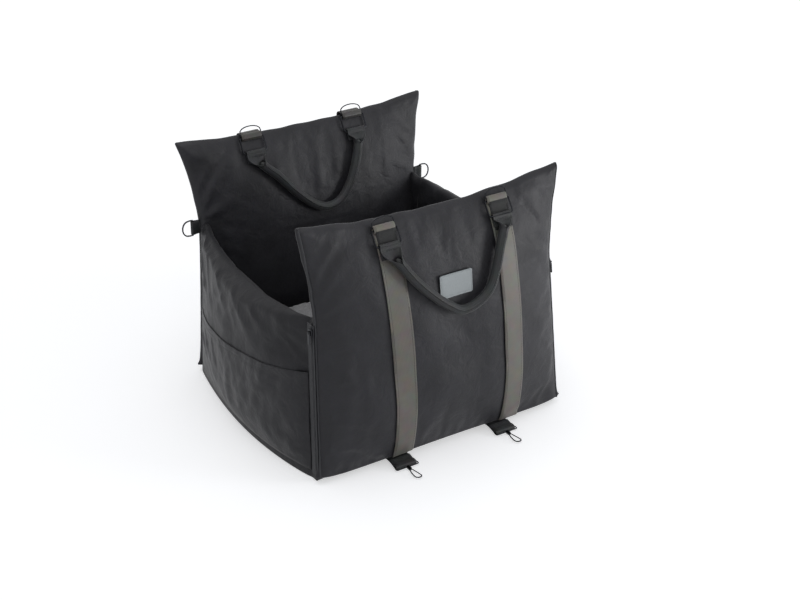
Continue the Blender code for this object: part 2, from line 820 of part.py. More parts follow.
def catmull(values, t):
    """Smooth value through a list of values, t from 0 to 1."""
    spans = len(values) - 1
    place = bounded(t, 0, 1) * spans
    index = min(int(place), spans - 1)
    share = place - index
    p0 = values[max(index - 1, 0)]
    p1 = values[index]
    p2 = values[index + 1]
    p3 = values[min(index + 2, spans)]
    return (p1 + (p2 - p0) * share / 2
            + (p0 - (5 * p1 - 4 * p2 + p3) / 2) * share ** 2
            + ((3 * (p1 - p2) + p3 - p0) / 2) * share ** 3)


def handle(panel, name):
    """A webbing handle: a loop round each bar, a flat length, and a round grip between."""
    left_bar = handle_bar(panel, -1)
    right_bar = handle_bar(panel, 1)
    drop = left_bar.z - (front_handle_low if panel == front else rear_handle_low)
    swing_share = front_handle_swing_share if panel == front else rear_handle_swing_share
    fall_share = front_handle_drop_share if panel == front else rear_handle_drop_share

    def half_sizes(t):
        share = bounded((min(t, 1 - t) - handle_web_share) / handle_taper_share, 0, 1)
        share = share * share * (3 - 2 * share)
        wide = blend(handle_web_half_width, handle_radius, share)
        thick = blend(handle_web_half_thickness, handle_radius, share)
        return wide, thick, 1 - share

    def spine(t):
        x = blend(left_bar.x, right_bar.x, (catmull(swing_share, t) + 1) / 2)
        z = left_bar.z - drop * catmull(fall_share, t)
        wide, thick, flat = half_sizes(t)
        surface = Vector((x, panel_face(panel, on_outside(panel), x, z), z))
        off = handle_back(panel) + handle_stand_off + thick
        lie = surface + panel_normal(panel, on_outside(panel), x, z) * off
        settle = bounded(min(t, 1 - t) / handle_web_share, 0, 1)
        return Vector((x, left_bar.y, z)).lerp(lie, settle)

    bm = bmesh.new()
    bmesh.ops.create_cone(bm, cap_ends=True, segments=handle_sides, radius1=1, radius2=1, depth=2)
    lengthwise = [e for e in bm.edges if abs(e.verts[0].co.z - e.verts[1].co.z) > 1]
    bmesh.ops.subdivide_edges(bm, edges=lengthwise, cuts=handle_cuts)
    start_share = handle_web_share / 2
    for vert in bm.verts:
        t = blend(start_share, 1 - start_share, (vert.co.z + 1) / 2)
        wide, thick, flat = half_sizes(t)
        place = spine(t)
        tangent = (spine(t + tangent_share) - spine(t - tangent_share)).normalized()
        away = panel_normal(panel, on_outside(panel), place.x, place.z)
        across = tangent.cross(away).normalized()
        normal = across.cross(tangent).normalized()
        power = blend(1, handle_flat_power, flat)
        a = math.copysign(abs(vert.co.x) ** power, vert.co.x)
        b = math.copysign(abs(vert.co.y) ** power, vert.co.y)
        vert.co = place + across * a * wide + normal * b * thick
    grip = mesh_from(bm, name)

    loops = []
    for bar in (left_bar, right_bar):
        down = spine(start_share) - spine(0)
        down = Vector((0, down.y, down.z)).normalized()
        outlines = teardrop(handle_loop_wall, handle_loop_cavity, handle_loop_tongue)
        to_world = side_view_matrix(bar, -down, Vector((0, down.z, -down.y)))
        loops.append(extruded_outline(name, outlines, handle_web_half_width, to_world))
    mesh = combined(name, grip, loops, "UNION")
    add_part(name, mesh, "black_webbing", pivot=(0, left_bar.y, left_bar.z))


def teardrop(wall, cavity, tongue):
    """Side view of a loop round one bar, closing to a doubled tongue below it."""
    outline = arc_points((0, 0), wall + cavity, -loop_open_deg, loop_open_deg, loop_arc_steps)
    outline += [(-tongue, wall), (-tongue, -wall)]
    hole = arc_points((0, 0), cavity, -loop_open_deg, loop_open_deg, loop_arc_steps)
    hole += [(-cavity - wall, 0)]
    return [outline, hole]


# Zips

def zip_point(side, z, behind):
    """A point on the zip line, or that far behind it."""
    line_y = seam_y(front, z) + rim_half + tape_part_gap
    return Vector((side * seam_half_width(front, z), line_y + behind, z))


def zip_strip(side, name, near, far, pivot):
    """A strip of tape with half of the coil standing on its edge at the zip line."""
    def slab(near_edge, far_edge, low, high):
        def place(a, b, c):
            z = blend(zip_foot, zip_head, (c + 1) / 2)
            start = zip_point(side, z, blend(near_edge, far_edge, (a + 1) / 2))
            return start.x + side * (hard_gap + blend(low, high, (b + 1) / 2)), start.y, start.z
        return shaped_block(name, plain_cuts, place)
    coil_edge = near + math.copysign(coil_half_width, far - near)
    coil = slab(near, coil_edge, tape_thickness / 2, coil_height)
    mesh = combined(name, slab(near, far, 0, tape_thickness), [coil], "UNION")
    add_part(name, mesh, "zip_tape", pivot=pivot)


def zip_frame(side):
    """Directions along the zip line, behind it and straight off the tape."""
    run = (zip_point(side, zip_head, 0) - zip_point(side, zip_foot, 0)).normalized()
    behind = (Vector((0, 1, 0)) - run * run.y).normalized()
    return run, behind, behind.cross(run) * side


def frame_matrix(place, first, second, third):
    """Sends X, Y and Z to three directions at a place."""
    return Matrix.Translation(place) @ Matrix((first, second, third)).transposed().to_4x4()


def zip_parts(side, side_name):
    zip_strip(side, f"side_zip_tape_{side_name}", tape_part_gap / 2, side_tape_width, None)
    zip_strip(side, f"front_zip_tape_{side_name}", -tape_part_gap / 2, -front_tape_width,
              front_pivot)
    run, behind, out = zip_frame(side)
    centre = (zip_point(side, zip_head, 0) - run * (slider_below_head + slider_length / 2)
              + out * (coil_height + 2 * hard_gap))

    def block(low, high):
        mesh = box_mesh("block", low, high)
        mesh.transform(frame_matrix(centre, behind, run, out))
        return mesh

    plate = block((-slider_half_width, -slider_length / 2, 0),
                  (slider_half_width, slider_length / 2, slider_thickness))
    ear_inside = puller_eye_half_width + hard_gap
    ear_outside = ear_inside + slider_ear_thickness
    ear_top = slider_thickness + slider_ear_height
    ears = [block((near, -slider_ear_half_length, slider_thickness / 2),
                  (near + slider_ear_thickness, slider_ear_half_length, ear_top))
            for near in (-ear_outside, ear_inside)]
    pin_place = centre + out * (ear_top - 2 * slider_pin_radius)
    pin_reach = behind * (ear_inside + slider_ear_thickness / 2)
    pin = cylinder_mesh("pin", pin_place - pin_reach, pin_place + pin_reach, slider_pin_radius,
                        pin_sides)
    slider = combined("slider", plate, ears + [pin], "UNION")
    add_part(f"zip_slider_{side_name}", slider, "gunmetal", pivot=centre)

    outline = arc_points((0, 0), puller_eye_radius, -45, 225, loop_arc_steps)
    outline += [(-puller_thickness / 2, -puller_neck), (puller_thickness / 2, -puller_neck)]
    hole = arc_points((0, 0), puller_hole_radius, 0, 315, loop_arc_steps)
    eye = extruded_outline("eye", [outline, hole], puller_eye_half_width,
                           frame_matrix(pin_place, out, run, behind))
    grip_top = slider_ear_half_length + 2 * hard_gap
    grip_half = (puller_length - grip_top) / 2
    grip_middle = pin_place - run * (puller_length - grip_half)
    grip = extruded_outline("grip", [rounded_rectangle(puller_half_width, grip_half, puller_corner)],
                            puller_thickness / 2, frame_matrix(grip_middle, behind, run, out))
    puller = combined("puller", eye, [grip], "UNION")
    add_part(f"zip_puller_{side_name}", puller, "gunmetal", pivot=pin_place)


# Corner tabs and rings at the rear

def corner_parts(side, side_name):
    edge = seam_half_width(rear, tab_height + tab_half_width) + soft_gap
    outward = Vector((side, 0, 0))
    bar = Vector((side * (edge + tab_length), seam_y(rear, tab_height), tab_height))
    tab = extruded_outline("tab", teardrop(tab_wall, tab_cavity, tab_length), tab_half_width,
                           frame_matrix(bar, outward, (0, 1, 0), (0, 0, side)))
    add_part(f"corner_tab_{side_name}", tab, "black_webbing")
    points = half_round_points(bar, (0, 0, 1), outward, corner_ring_half_height,
                               corner_ring_reach)
    ring = wire_mesh("ring", points, corner_ring_wire, True)
    add_part(f"corner_ring_{side_name}", ring, "gunmetal", pivot=bar)


# Tether straps and hooks

def tether_parts(side, side_name):
    outer_radius = tether_cavity + tether_wall
    forward = Vector((0, -1, 0))
    bar = Vector((tether_middle + side * tether_offset, front_pivot.y - tether_reach,
                  tether_lie + outer_radius))
    root_y = (panel_face(front, False, 0, base_thickness) + soft_gap
              + base_round * tether_root_share)
    strip = box_mesh("strip", (bar.x - tether_half_width, bar.y + outer_radius, tether_lie),
                     (bar.x + tether_half_width, root_y, tether_lie + tether_thickness))
    outline = arc_points((0, 0), outer_radius, -120, 90, loop_arc_steps)
    outline += [(-tether_tongue, outer_radius),
                (-tether_tongue, outer_radius - tether_wall - tether_thickness)]
    hole = arc_points((0, 0), tether_cavity, -loop_open_deg, loop_open_deg, loop_arc_steps)
    hole += [(-outer_radius, 0)]
    loop = extruded_outline("loop", [outline, hole], tether_half_width,
                            side_view_matrix(bar, forward, Vector((0, 0, -1))))
    strap = combined("tether_strap", loop, [strip], "UNION")
    add_part(f"tether_strap_{side_name}", strap, "black_webbing")

    bar_points = wire_loop_points(bar, forward, hook_bar_half_width, hook_bar_length,
                                  2 * hook_wire)
    frame = wire_mesh("hook_frame", bar_points, hook_wire, True)
    collar_start = bar + forward * hook_bar_length
    collar_end = collar_start + forward * collar_length
    collar = cylinder_mesh("collar", collar_start, collar_end, collar_radius)
    bore = cylinder_mesh("bore", collar_end - forward * collar_bore_depth,
                         collar_end + forward * cut_overrun, collar_bore)
    collar = combined("collar", collar, [bore], "DIFFERENCE")
    frame = combined("hook_frame", frame, [collar], "UNION")
    add_part(f"hook_frame_{side_name}", frame, "gunmetal", pivot=bar)

    stem_start = collar_end - forward * (collar_bore_depth - stem_clearance)
    snap_base = collar_end + forward * hook_wire

    def snap_point(along_share, across_share):
        return (snap_base + forward * snap_length * along_share
                + Vector((snap_half_width * across_share, 0, 0)))

    points = [stem_start] + [snap_point(*shares) for shares in snap_outline_shares]
    hook = wire_mesh("snap", points, hook_wire, False, fine_wire_resolution)
    washer = cylinder_mesh("washer", snap_base - forward * (hook_wire - stem_clearance),
                           snap_base + forward * hook_wire, washer_radius)
    hook = combined("snap", hook, [washer], "UNION")
    add_part(f"snap_hook_{side_name}", hook, "gunmetal", pivot=stem_start)

    gate_start, gate_middle, gate_tip = [snap_point(*shares) for shares in gate_route_shares]
    gate_end = gate_tip - (gate_tip - gate_start).normalized() * gate_gap
    gate = wire_mesh("gate", [gate_start, gate_middle, gate_end], gate_wire, False,
                     fine_wire_resolution)
    add_part(f"hook_gate_{side_name}", gate, "gunmetal", pivot=gate_start)


clear_scene()
parts = new_collection(collection_name)
cutters = new_collection("cutters")

front_pivot = Vector((0, panel_face(front, True, 0, panel_lift), panel_lift))
panel_pivots = {front: front_pivot, rear: Vector((0, 0, 0))}

tall_panel(front, "front_panel")
tall_panel(rear, "rear_panel")
label()
base_parts()
cushion()
for side, side_name in ((-1, "left"), (1, "right")):
    side_wall(side, f"{side_name}_wall")
    pocket(side, f"{side_name}_pocket")
    for panel, panel_name in ((front, "front"), (rear, "rear")):
        panel_strap(panel, side, f"{panel_name}_strap_{side_name}")
        buckle_and_ring(panel, side, side_name)
    zip_parts(side, side_name)
    corner_parts(side, side_name)
    tether_parts(side, side_name)
handle(front, "front_handle")
handle(rear, "rear_handle")
bpy.context.view_layer.update()
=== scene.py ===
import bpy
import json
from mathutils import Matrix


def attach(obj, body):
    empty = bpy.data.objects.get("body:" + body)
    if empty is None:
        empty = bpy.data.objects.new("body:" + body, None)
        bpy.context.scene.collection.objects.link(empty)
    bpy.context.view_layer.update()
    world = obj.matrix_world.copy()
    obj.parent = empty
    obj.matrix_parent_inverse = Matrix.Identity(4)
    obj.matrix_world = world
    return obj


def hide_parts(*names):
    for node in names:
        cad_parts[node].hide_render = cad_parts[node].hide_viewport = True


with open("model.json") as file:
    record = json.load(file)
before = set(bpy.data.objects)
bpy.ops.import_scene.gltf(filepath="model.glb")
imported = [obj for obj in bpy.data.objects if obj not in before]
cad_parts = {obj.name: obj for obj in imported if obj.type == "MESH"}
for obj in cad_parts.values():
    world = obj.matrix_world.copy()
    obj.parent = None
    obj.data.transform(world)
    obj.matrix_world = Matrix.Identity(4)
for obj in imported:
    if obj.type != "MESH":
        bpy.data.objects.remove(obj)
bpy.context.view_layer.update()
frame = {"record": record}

import json
import math

import bmesh
import bpy
import numpy as np
from mathutils import Matrix, Vector, noise
from mathutils.bvhtree import BVHTree

scene = bpy.context.scene
jointPlaces = {j["name"]: j.get("pos_m") for j in frame["record"]["behaviour"]["joints"]}
front, rear = -1, 1
panelNames = {front: "front", rear: "rear"}
sides = {"left": -1, "right": 1}

# Camera and light

view = {
    "focalPixels": 1560.92,      # for an image 800 pixels wide
    "imageWidth": 800,
    "sensor": 36,
    "place": (-1.3101, -2.1201, 1.4963),
    "yaw": 0.5713,
    "pitch": 0.4863,
    "roll": 0.0066,
}


def addCamera():
    camera = bpy.data.objects.new("camera", bpy.data.cameras.new("camera"))
    scene.collection.objects.link(camera)
    camera.data.sensor_width = view["sensor"]
    camera.data.lens = view["focalPixels"] * view["sensor"] / view["imageWidth"]
    yaw, pitch, roll = view["yaw"], view["pitch"], view["roll"]
    ahead = Vector((math.sin(yaw) * math.cos(pitch), math.cos(yaw) * math.cos(pitch),
                    -math.sin(pitch)))
    level = Vector((math.cos(yaw), -math.sin(yaw), 0))
    upright = level.cross(ahead)
    right = level * math.cos(roll) + upright * math.sin(roll)
    up = upright * math.cos(roll) - level * math.sin(roll)
    turn = Matrix((right, up, -ahead)).transposed().to_4x4()
    camera.matrix_world = Matrix.Translation(view["place"]) @ turn
    scene.camera = camera


def toLinear(hexColour):
    channels = [int(hexColour[i:i + 2], 16) / 255 for i in (1, 3, 5)]
    return [c / 12.92 if c <= 0.04045 else ((c + 0.055) / 1.055) ** 2.4 for c in channels] + [1]


def setInputs(node, inputs):
    for name, value in inputs.items():
        if isinstance(value, bpy.types.NodeSocket):
            node.id_data.links.new(value, node.inputs[name])
        else:
            node.inputs[name].default_value = value


def addNode(tree, kind, inputs, output=0, **settings):
    # returns the output that is wanted of the new node
    node = tree.nodes.new(f"ShaderNode{kind}")
    for name, value in settings.items():
        setattr(node, name, value)
    setInputs(node, inputs)
    return node.outputs[output] if node.outputs else node


def calc(tree, operation, *values):
    return addNode(tree, "Math", dict(enumerate(values)), operation=operation)


def mix(tree, share, one, two, kind="MIX"):
    colours = [toLinear(c) if isinstance(c, str) else c for c in (one, two)]
    return addNode(tree, "MixRGB", {"Fac": share, "Color1": colours[0], "Color2": colours[1]},
                   blend_type=kind)


def ranged(tree, value, low, high, start=0.0, end=1.0, **settings):
    return addNode(tree, "MapRange", {"Value": value, "From Min": start, "From Max": end,
                                      "To Min": low, "To Max": high}, **settings)


studio = {
    "floor": "#e9ebef",        # as seen
    "floorBounce": "#a4a4a8",  # as it lights the object
    "floorReach": 30,
    "floorGlow": (0.50, 0.70), # the floor's own brightness, by the object and far from it
    "glowSpread": (0.7, 2.6),  # metres from the object between which it rises
    "sky": (0.23, 0.62),       # light of the room from its left and from its right
    "lamps": [                 # place, size, power
        ((2.0, -1.9, 0.45), 0.9, 27),
        ((-1.3, -1.9, 2.4), 1.4, 4),
        ((-0.2, 0.3, 2.9), 2.2, 19),
    ],
    "aim": (0, 0, 0.2),
}
white = (1, 1, 1, 1)


def emptyTree(owner):
    # the owner's cleared nodes, and a value of 1 where the camera or a reflection looks
    owner.use_nodes = True
    tree = owner.node_tree
    tree.nodes.clear()
    looks = [addNode(tree, "LightPath", {}, f"Is {kind} Ray") for kind in ("Camera", "Glossy")]
    return tree, calc(tree, "MAXIMUM", *looks)


def addStudio():
    floorMesh = bpy.data.meshes.new("floor")
    reach = studio["floorReach"]
    floorMesh.from_pydata([(-reach, -reach, 0), (reach, -reach, 0), (reach, reach, 0),
                           (-reach, reach, 0)], [], [(0, 1, 2, 3)])
    floor = bpy.data.objects.new("floor", floorMesh)
    scene.collection.objects.link(floor)
    paper = bpy.data.materials.new("mattPaperFloor")
    tree, seen = emptyTree(paper)
    tint = mix(tree, seen, studio["floorBounce"], studio["floor"])
    far = addNode(tree, "VectorMath", {0: addNode(tree, "TexCoord", {}, "Object")}, "Value",
                  operation="LENGTH")
    rise = ranged(tree, far, *studio["floorGlow"], *studio["glowSpread"],
                  interpolation_type="SMOOTHSTEP")
    glow = addNode(tree, "Emission", {"Color": white,
                                      "Strength": calc(tree, "MULTIPLY", seen, rise)})
    matt = addNode(tree, "BsdfDiffuse", {"Color": tint})
    addNode(tree, "OutputMaterial", {"Surface": addNode(tree, "AddShader", {0: matt, 1: glow})})
    floorMesh.materials.append(paper)

    scene.world = bpy.data.worlds.new("whiteRoom")
    tree, seen = emptyTree(scene.world)
    towards = addNode(tree, "TexCoord", {}, "Generated")
    light = ranged(tree, addNode(tree, "SeparateXYZ", {"Vector": towards}, "X"),
                   *studio["sky"], start=-1.0)
    room = addNode(tree, "Background", {"Color": white,
                                        "Strength": ranged(tree, seen, light, 1.0)})
    addNode(tree, "OutputWorld", {"Surface": room})

    for index, (place, size, power) in enumerate(studio["lamps"]):
        lamp = bpy.data.lights.new(f"softbox{index}", "AREA")
        lamp.size = size
        lamp.energy = power
        holder = bpy.data.objects.new(f"softbox{index}", lamp)
        holder.location = place
        holder.rotation_mode = "QUATERNION"
        aim = Vector(studio["aim"]) - Vector(place)
        holder.rotation_quaternion = aim.to_track_quat("-Z", "Y")
        scene.collection.objects.link(holder)
    scene.view_settings.view_transform = "Standard"


addCamera()
addStudio()
print("camera and studio ready")

# Materials. Sizes are in metres, and a woven face is laid out flat in the map named cloth.


def newMaterial(name, hexColour, roughness, more={}):
    material = bpy.data.materials.new(name)
    material.use_nodes = True
    material.diffuse_color = toLinear(hexColour)
    shader = material.node_tree.nodes["Principled BSDF"]
    setInputs(shader, {"Base Color": toLinear(hexColour), "Roughness": roughness, **more})
    return material, material.node_tree, shader


def grain(tree, size, detail=2.0, output="Fac", **more):
    # uneven patches about that size across
    place = addNode(tree, "TexCoord", {}, "Object")
    return addNode(tree, "TexNoise", {"Vector": place, "Scale": 1 / size, "Detail": detail,
                                      **more}, output)


def bands(tree, spacing, direction, distortion, detail=2.0):
    # threads or ribs; 0.314 turns their spacing into the texture's own scale
    flat = addNode(tree, "UVMap", {}, uv_map="cloth")
    return addNode(tree, "TexWave", {"Vector": flat, "Scale": 0.314 / spacing,
                                     "Distortion": distortion, "Detail": detail}, "Fac",
                   bands_direction=direction)


def bump(tree, height, strength, distance, more={}):
    return addNode(tree, "Bump", {"Height": height, "Strength": strength, "Distance": distance,
                                  **more})


def ramp(tree, value, *stops):
    shade = addNode(tree, "ValToRGB", {"Fac": value})
    for element, (place, hexColour) in zip(shade.node.color_ramp.elements, stops):
        element.position = place
        element.color = toLinear(hexColour)
    return shade


def wovenPolyester(name, colour, deep, pale, roughness, sheen, specular, crumple):
    # Filament polyester, plain woven and calendered: close threads, a soft sheen on every
    # rise and slightly paler patches where the padding pushes the cloth out.
    material, tree, shader = newMaterial(name, colour, roughness, {
        "Sheen Weight": sheen, "Sheen Roughness": 0.45, "Specular IOR Level": specular})
    # handling marks about 60 mm across, and flecks of 3.5 mm
    shade = ramp(tree, grain(tree, 0.060, 3.0, Roughness=0.55), (0.34, deep), (0.70, pale))
    fleck = mix(tree, 0.16, shade, grain(tree, 0.0035, output="Color"), "OVERLAY")
    # threads 0.5 mm apart, drawn at 1.1 mm so that they hold in the picture
    weave = calc(tree, "MAXIMUM", bands(tree, 0.0011, "X", 0.3), bands(tree, 0.0011, "Y", 0.3))
    threads = bump(tree, weave, 0.22, 0.0003)
    # crumple marks of the calendered cloth, about 24 mm across
    marks = grain(tree, 0.024, 4.0, Roughness=0.52, Distortion=0.6)
    setInputs(shader, {"Base Color": fleck,
                       "Normal": bump(tree, marks, crumple, 0.004, {"Normal": threads}),
                       "Roughness": ranged(tree, marks, roughness - 0.09, roughness + 0.08)})
    return material


def ribbedWebbing(name, colour, deep, pale, thread, roughness, specular, stitchFrom):
    # Polypropylene webbing, narrow woven with thick weft ribs: rows of small ridges across it,
    # a firm edge, and two lines of lock stitch along the edges.
    material, tree, shader = newMaterial(name, colour, roughness, {
        "Sheen Weight": 0.10, "Specular IOR Level": specular})
    # ribs 1.2 mm apart, drawn at 1.9 mm, crossed by warp ends drawn 2.4 mm apart
    weave = calc(tree, "MULTIPLY", bands(tree, 0.0019, "Y", 0.8, 1.0),
                 bands(tree, 0.0024, "X", 0.4))
    shade = mix(tree, ranged(tree, weave, 0.40, 0.60), deep, pale)
    # uneven tone from wear, in patches of 18 mm
    worn = mix(tree, 0.30, shade, grain(tree, 0.018, 3.0, "Color"), "SOFT_LIGHT")
    # stitch lines along both edges
    flat = addNode(tree, "UVMap", {}, uv_map="cloth")
    side = calc(tree, "ABSOLUTE", addNode(tree, "SeparateXYZ", {"Vector": flat}, "X"))
    near = calc(tree, "ABSOLUTE", calc(tree, "SUBTRACT", side, stitchFrom))
    line = ranged(tree, near, 1.0, 0.0, 0.0003, 0.0009)
    setInputs(shader, {"Base Color": mix(tree, line, worn, thread),
                       "Normal": bump(tree, calc(tree, "SUBTRACT", weave, line), 0.32, 0.0004)})
    return material


def brushedPlush(name, colour, deep, pale):
    # Short polyester plush, knitted and brushed up: fibre tufts of 3 mm with a painted highlight
    # on their tips and painted shade between, and the pile lying this way and that in patches of
    # 30 mm, painted as paler and darker patches of sheen.
    material, tree, shader = newMaterial(name, colour, 0.95, {
        "Sheen Weight": 0.7, "Sheen Roughness": 0.55})
    tufts = grain(tree, 0.0030, 4.0, Roughness=0.7)
    paintedPileLight = mix(tree, 0.5, tufts, grain(tree, 0.030, 3.0, Distortion=1.2))
    # painted highlight on the tuft tips and painted shade between them, with painted sheen in
    # the pile's patches
    setInputs(shader, {"Base Color": ramp(tree, paintedPileLight, (0.36, deep), (0.62, pale)),
                       "Normal": bump(tree, tufts, 0.9, 0.0022)})
    return material


def gunmetalWire(name):
    # Steel wire, bent, welded and plated dark: a satin grey-black metal with 4 mm streaks and
    # a little more shine where straps rub it.
    material, tree, shader = newMaterial(name, "#2a2b2d", 0.34, {"Metallic": 1.0})
    streaks = grain(tree, 0.0040, 3.0)
    setInputs(shader, {"Roughness": ranged(tree, streaks, 0.22, 0.40),
                       "Base Color": mix(tree, streaks, "#222325", "#35363a")})
    return material


def coatedPatch(name):
    # Coated woven patch, cut and sewn on: smooth and pale, a 2.2 mm grain and a dull shine.
    material, tree, shader = newMaterial(name, "#a6adb0", 0.55)
    coat = grain(tree, 0.0022, 3.0)
    setInputs(shader, {"Base Color": mix(tree, coat, "#9da4a7", "#b0b7ba"),
                       "Normal": bump(tree, coat, 0.25, 0.0004)})
    return material


def plainNylon(name, hexColour, roughness, grainSize):
    # Drawn nylon, for coil, thread and edges: even colour, a slight gloss, fine grain.
    material, tree, shader = newMaterial(name, hexColour, roughness)
    fine = grain(tree, grainSize)
    shade = addNode(tree, "HueSaturation", {"Color": toLinear(hexColour),
                                            "Value": ranged(tree, fine, 0.85, 1.15)})
    setInputs(shader, {"Base Color": shade, "Normal": bump(tree, fine, 0.3, 0.0004)})
    return material


shellCloth = wovenPolyester(
    "wovenPolyesterShell", colour="#232327", deep="#1f1f23", pale="#28282d", roughness=0.50,
    sheen=0.10, specular=0.30, crumple=0.42)
# the side walls' cloth is the shell cloth made darker: painted shade on the sides
wallClothPaintedShade = wovenPolyester(
    "wovenPolyesterWallPaintedShade", colour="#1c1c20", deep="#18181c", pale="#212125", roughness=0.54,
    sheen=0.07, specular=0.26, crumple=0.42)
# the pockets' own cloth, made darker along with the walls: partly painted shade on the sides
pocketClothPaintedShade = wovenPolyester(
    "wovenPolyesterPocketPaintedShade", colour="#1f1f23", deep="#1b1b1f", pale="#252529", roughness=0.50,
    sheen=0.08, specular=0.28, crumple=0.46)
baseCloth = wovenPolyester(
    "wovenPolyesterBase", colour="#1e1e20", deep="#1a1a1c", pale="#242426", roughness=0.75,
    sheen=0.05, specular=0.30, crumple=0.20)
greyWebbing = ribbedWebbing(
    "ribbedWebbingGrey", colour="#6b6862", deep="#615e58", pale="#76736c", thread="#5d5a54",
    roughness=0.48, specular=0.45, stitchFrom=0.0165)
# a darker copy of the grey webbing for the rear straps: painted shade
rearWebbingPaintedShade = ribbedWebbing(
    "ribbedWebbingRearPaintedShade", colour="#403f3c", deep="#373634", pale="#4a4946", thread="#353432",
    roughness=0.44, specular=0.45, stitchFrom=0.0165)
blackWebbing = ribbedWebbing(
    "ribbedWebbingBlack", colour="#27292b", deep="#1f2123", pale="#303234", thread="#191a1c",
    roughness=0.55, specular=0.35, stitchFrom=0.0155)
# near-black webbing for the sheet that paints the shade behind each front buckle
shadeSheetWebbing = ribbedWebbing(
    "ribbedWebbingShadeSheet", colour="#18191b", deep="#121315", pale="#1f2022", thread="#141516",
    roughness=0.60, specular=0.30, stitchFrom=0.0155)
plush = brushedPlush("brushedPlushGrey", colour="#848487", deep="#6c6c70", pale="#98989b")
gunmetal = gunmetalWire("platedSteelWire")
patchCloth = coatedPatch("coatedPatchGrey")
tapeCloth = plainNylon("wovenNylonTape", "#222327", 0.62, 0.0016)
coilNylon = plainNylon("drawnNylonCoil", "#303136", 0.36, 0.0010)
darkThread = plainNylon("twistedThreadDark", "#2b2c2e", 0.60, 0.0008)
webbingThread = plainNylon("twistedThreadGrey", "#4d4c48", 0.60, 0.0008)
paleThread = plainNylon("twistedThreadPale", "#a7adaf", 0.60, 0.0008)
pressedBoard = plainNylon("pressedFibreBoard", "#3a3a3c", 0.70, 0.0060)
print("materials ready")

# The sewn body's faces, as functions of place

seat = {
    "baseHalf": 0.250, "waist": {front: 0.237, rear: 0.231}, "tip": 0.256, "halfDepth": 0.222,
    "height": {front: 0.458, rear: 0.452}, "middle": {front: 0.436, rear: 0.436},
    "lift": 0.005, "arch": 0.008, "rim": 0.004,
    "lean": {front: 0.046, rear: 0.035}, "leanPower": {front: 1, rear: 3},
    "outerBulge": 0.046, "innerBulge": {front: 0.018, rear: 0.030},
    "footShare": 0.30, "riseShare": 0.35, "topPower": 6, "sidePower": 3,
    "sideFullness": 0.8, "tipPower": 2.5, "flarePower": 1.6, "softGap": 0.0006,
    "sideHeight": 0.292, "sideRise": 0.008, "sag": 0.010, "wallFoot": 0.001,
    "endThickness": 0.020, "middleThickness": 0.042, "bowLow": 0.027, "bowHigh": 0.036,
    "belly": 0.010, "swellPower": 0.9, "fullnessPower": 0.85, "land": 0.016,
    "outerRound": 0.022, "innerRound": 0.040,
    "slopeStep": 0.001,        # over which a face's slope is measured
}
landShare = seat["land"] / seat["halfDepth"]


def blend(low, high, share):
    return low + (high - low) * share


def bounded(value, low, high):
    return max(low, min(high, value))


def smooth(value):
    share = bounded(value, 0, 1)
    return share * share * (3 - 2 * share)


def seamHalfWidth(along, z):
    waist, height = (blend(seat[key][front], seat[key][rear], (along + 1) / 2)
                     for key in ("waist", "height"))
    if z <= seat["sideHeight"]:
        return blend(seat["baseHalf"], waist, z / seat["sideHeight"])
    share = bounded((z - seat["sideHeight"]) / (height - seat["sideHeight"]), 0, 1)
    return blend(waist, seat["tip"], share ** seat["flarePower"])


def seamY(panel, z):
    rise = max(z, 0) / seat["height"][panel]
    return panel * seat["halfDepth"] + seat["lean"][panel] * rise ** seat["leanPower"][panel]


def panelTop(panel, across):
    return blend(seat["middle"][panel], seat["height"][panel], abs(across) ** seat["tipPower"])


def panelFoot(across):
    return seat["lift"] + seat["arch"] * (1 - across * across)


def bulgeShare(across, up):
    side = max(0.0, 1 - abs(across) ** seat["sidePower"]) ** seat["sideFullness"]
    rise = math.sin(math.pi / 2 * min(1.0, up / seat["riseShare"]))
    return side * blend(seat["footShare"], 1, rise) * (1 - up ** seat["topPower"])


def panelFace(panel, outside, x, z):
    across = bounded(x / seamHalfWidth(panel, z), -1, 1)
    foot = panelFoot(across)
    up = bounded((z - foot) / (panelTop(panel, across) - foot), 0, 1)
    bulge = seat["outerBulge"] if outside else seat["innerBulge"][panel]
    direction = panel if outside else -panel
    return seamY(panel, z) + direction * (seat["rim"] + bulge * bulgeShare(across, up))


def panelNormal(panel, outside, x, z):
    step = seat["slopeStep"]
    slopeX = panelFace(panel, outside, x + step, z) - panelFace(panel, outside, x - step, z)
    slopeZ = panelFace(panel, outside, x, z + step) - panelFace(panel, outside, x, z - step)
    outward = panel if outside else -panel
    return Vector((-slopeX / (2 * step), 1, -slopeZ / (2 * step))).normalized() * outward


def wallTop(along):
    return (seat["sideHeight"] + seat["sideRise"] * (along + 1) / 2
            - seat["sag"] * (1 - along * along))


def wallSwell(along):
    behind = bounded((along + 1 - landShare) / (2 - landShare), 0, 1)
    return abs(math.sin(math.pi * behind ** seat["swellPower"])) ** seat["fullnessPower"]


def wallOuterX(along, z):
    bow = blend(seat["bowLow"], seat["bowHigh"], z / seat["sideHeight"])
    bow += seat["belly"] * math.sin(math.pi * bounded(z / seat["sideHeight"], 0, 1))
    return seamHalfWidth(along, z) + bow * wallSwell(along)


def wallThickness(along):
    return blend(seat["endThickness"], seat["middleThickness"], wallSwell(along))


def wallY(along, x, z):
    low = panelFace(front, False, x, z) + seat["softGap"]
    high = panelFace(rear, False, x, z) - seat["softGap"]
    return blend(low, high, (along + 1) / 2)


# Mesh helpers


def newPiece(name, mesh, material, body, slotName, *replaced):
    mesh.name = name
    mesh.materials.append(material)
    piece = bpy.data.objects.new(name, mesh)
    scene.collection.objects.link(piece)
    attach(piece, body)
    if replaced:
        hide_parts(*replaced)
    return piece


def meshFrom(bm):
    mesh = bpy.data.meshes.new("mesh")
    bm.to_mesh(mesh)
    bm.free()
    mesh.shade_smooth()
    return mesh


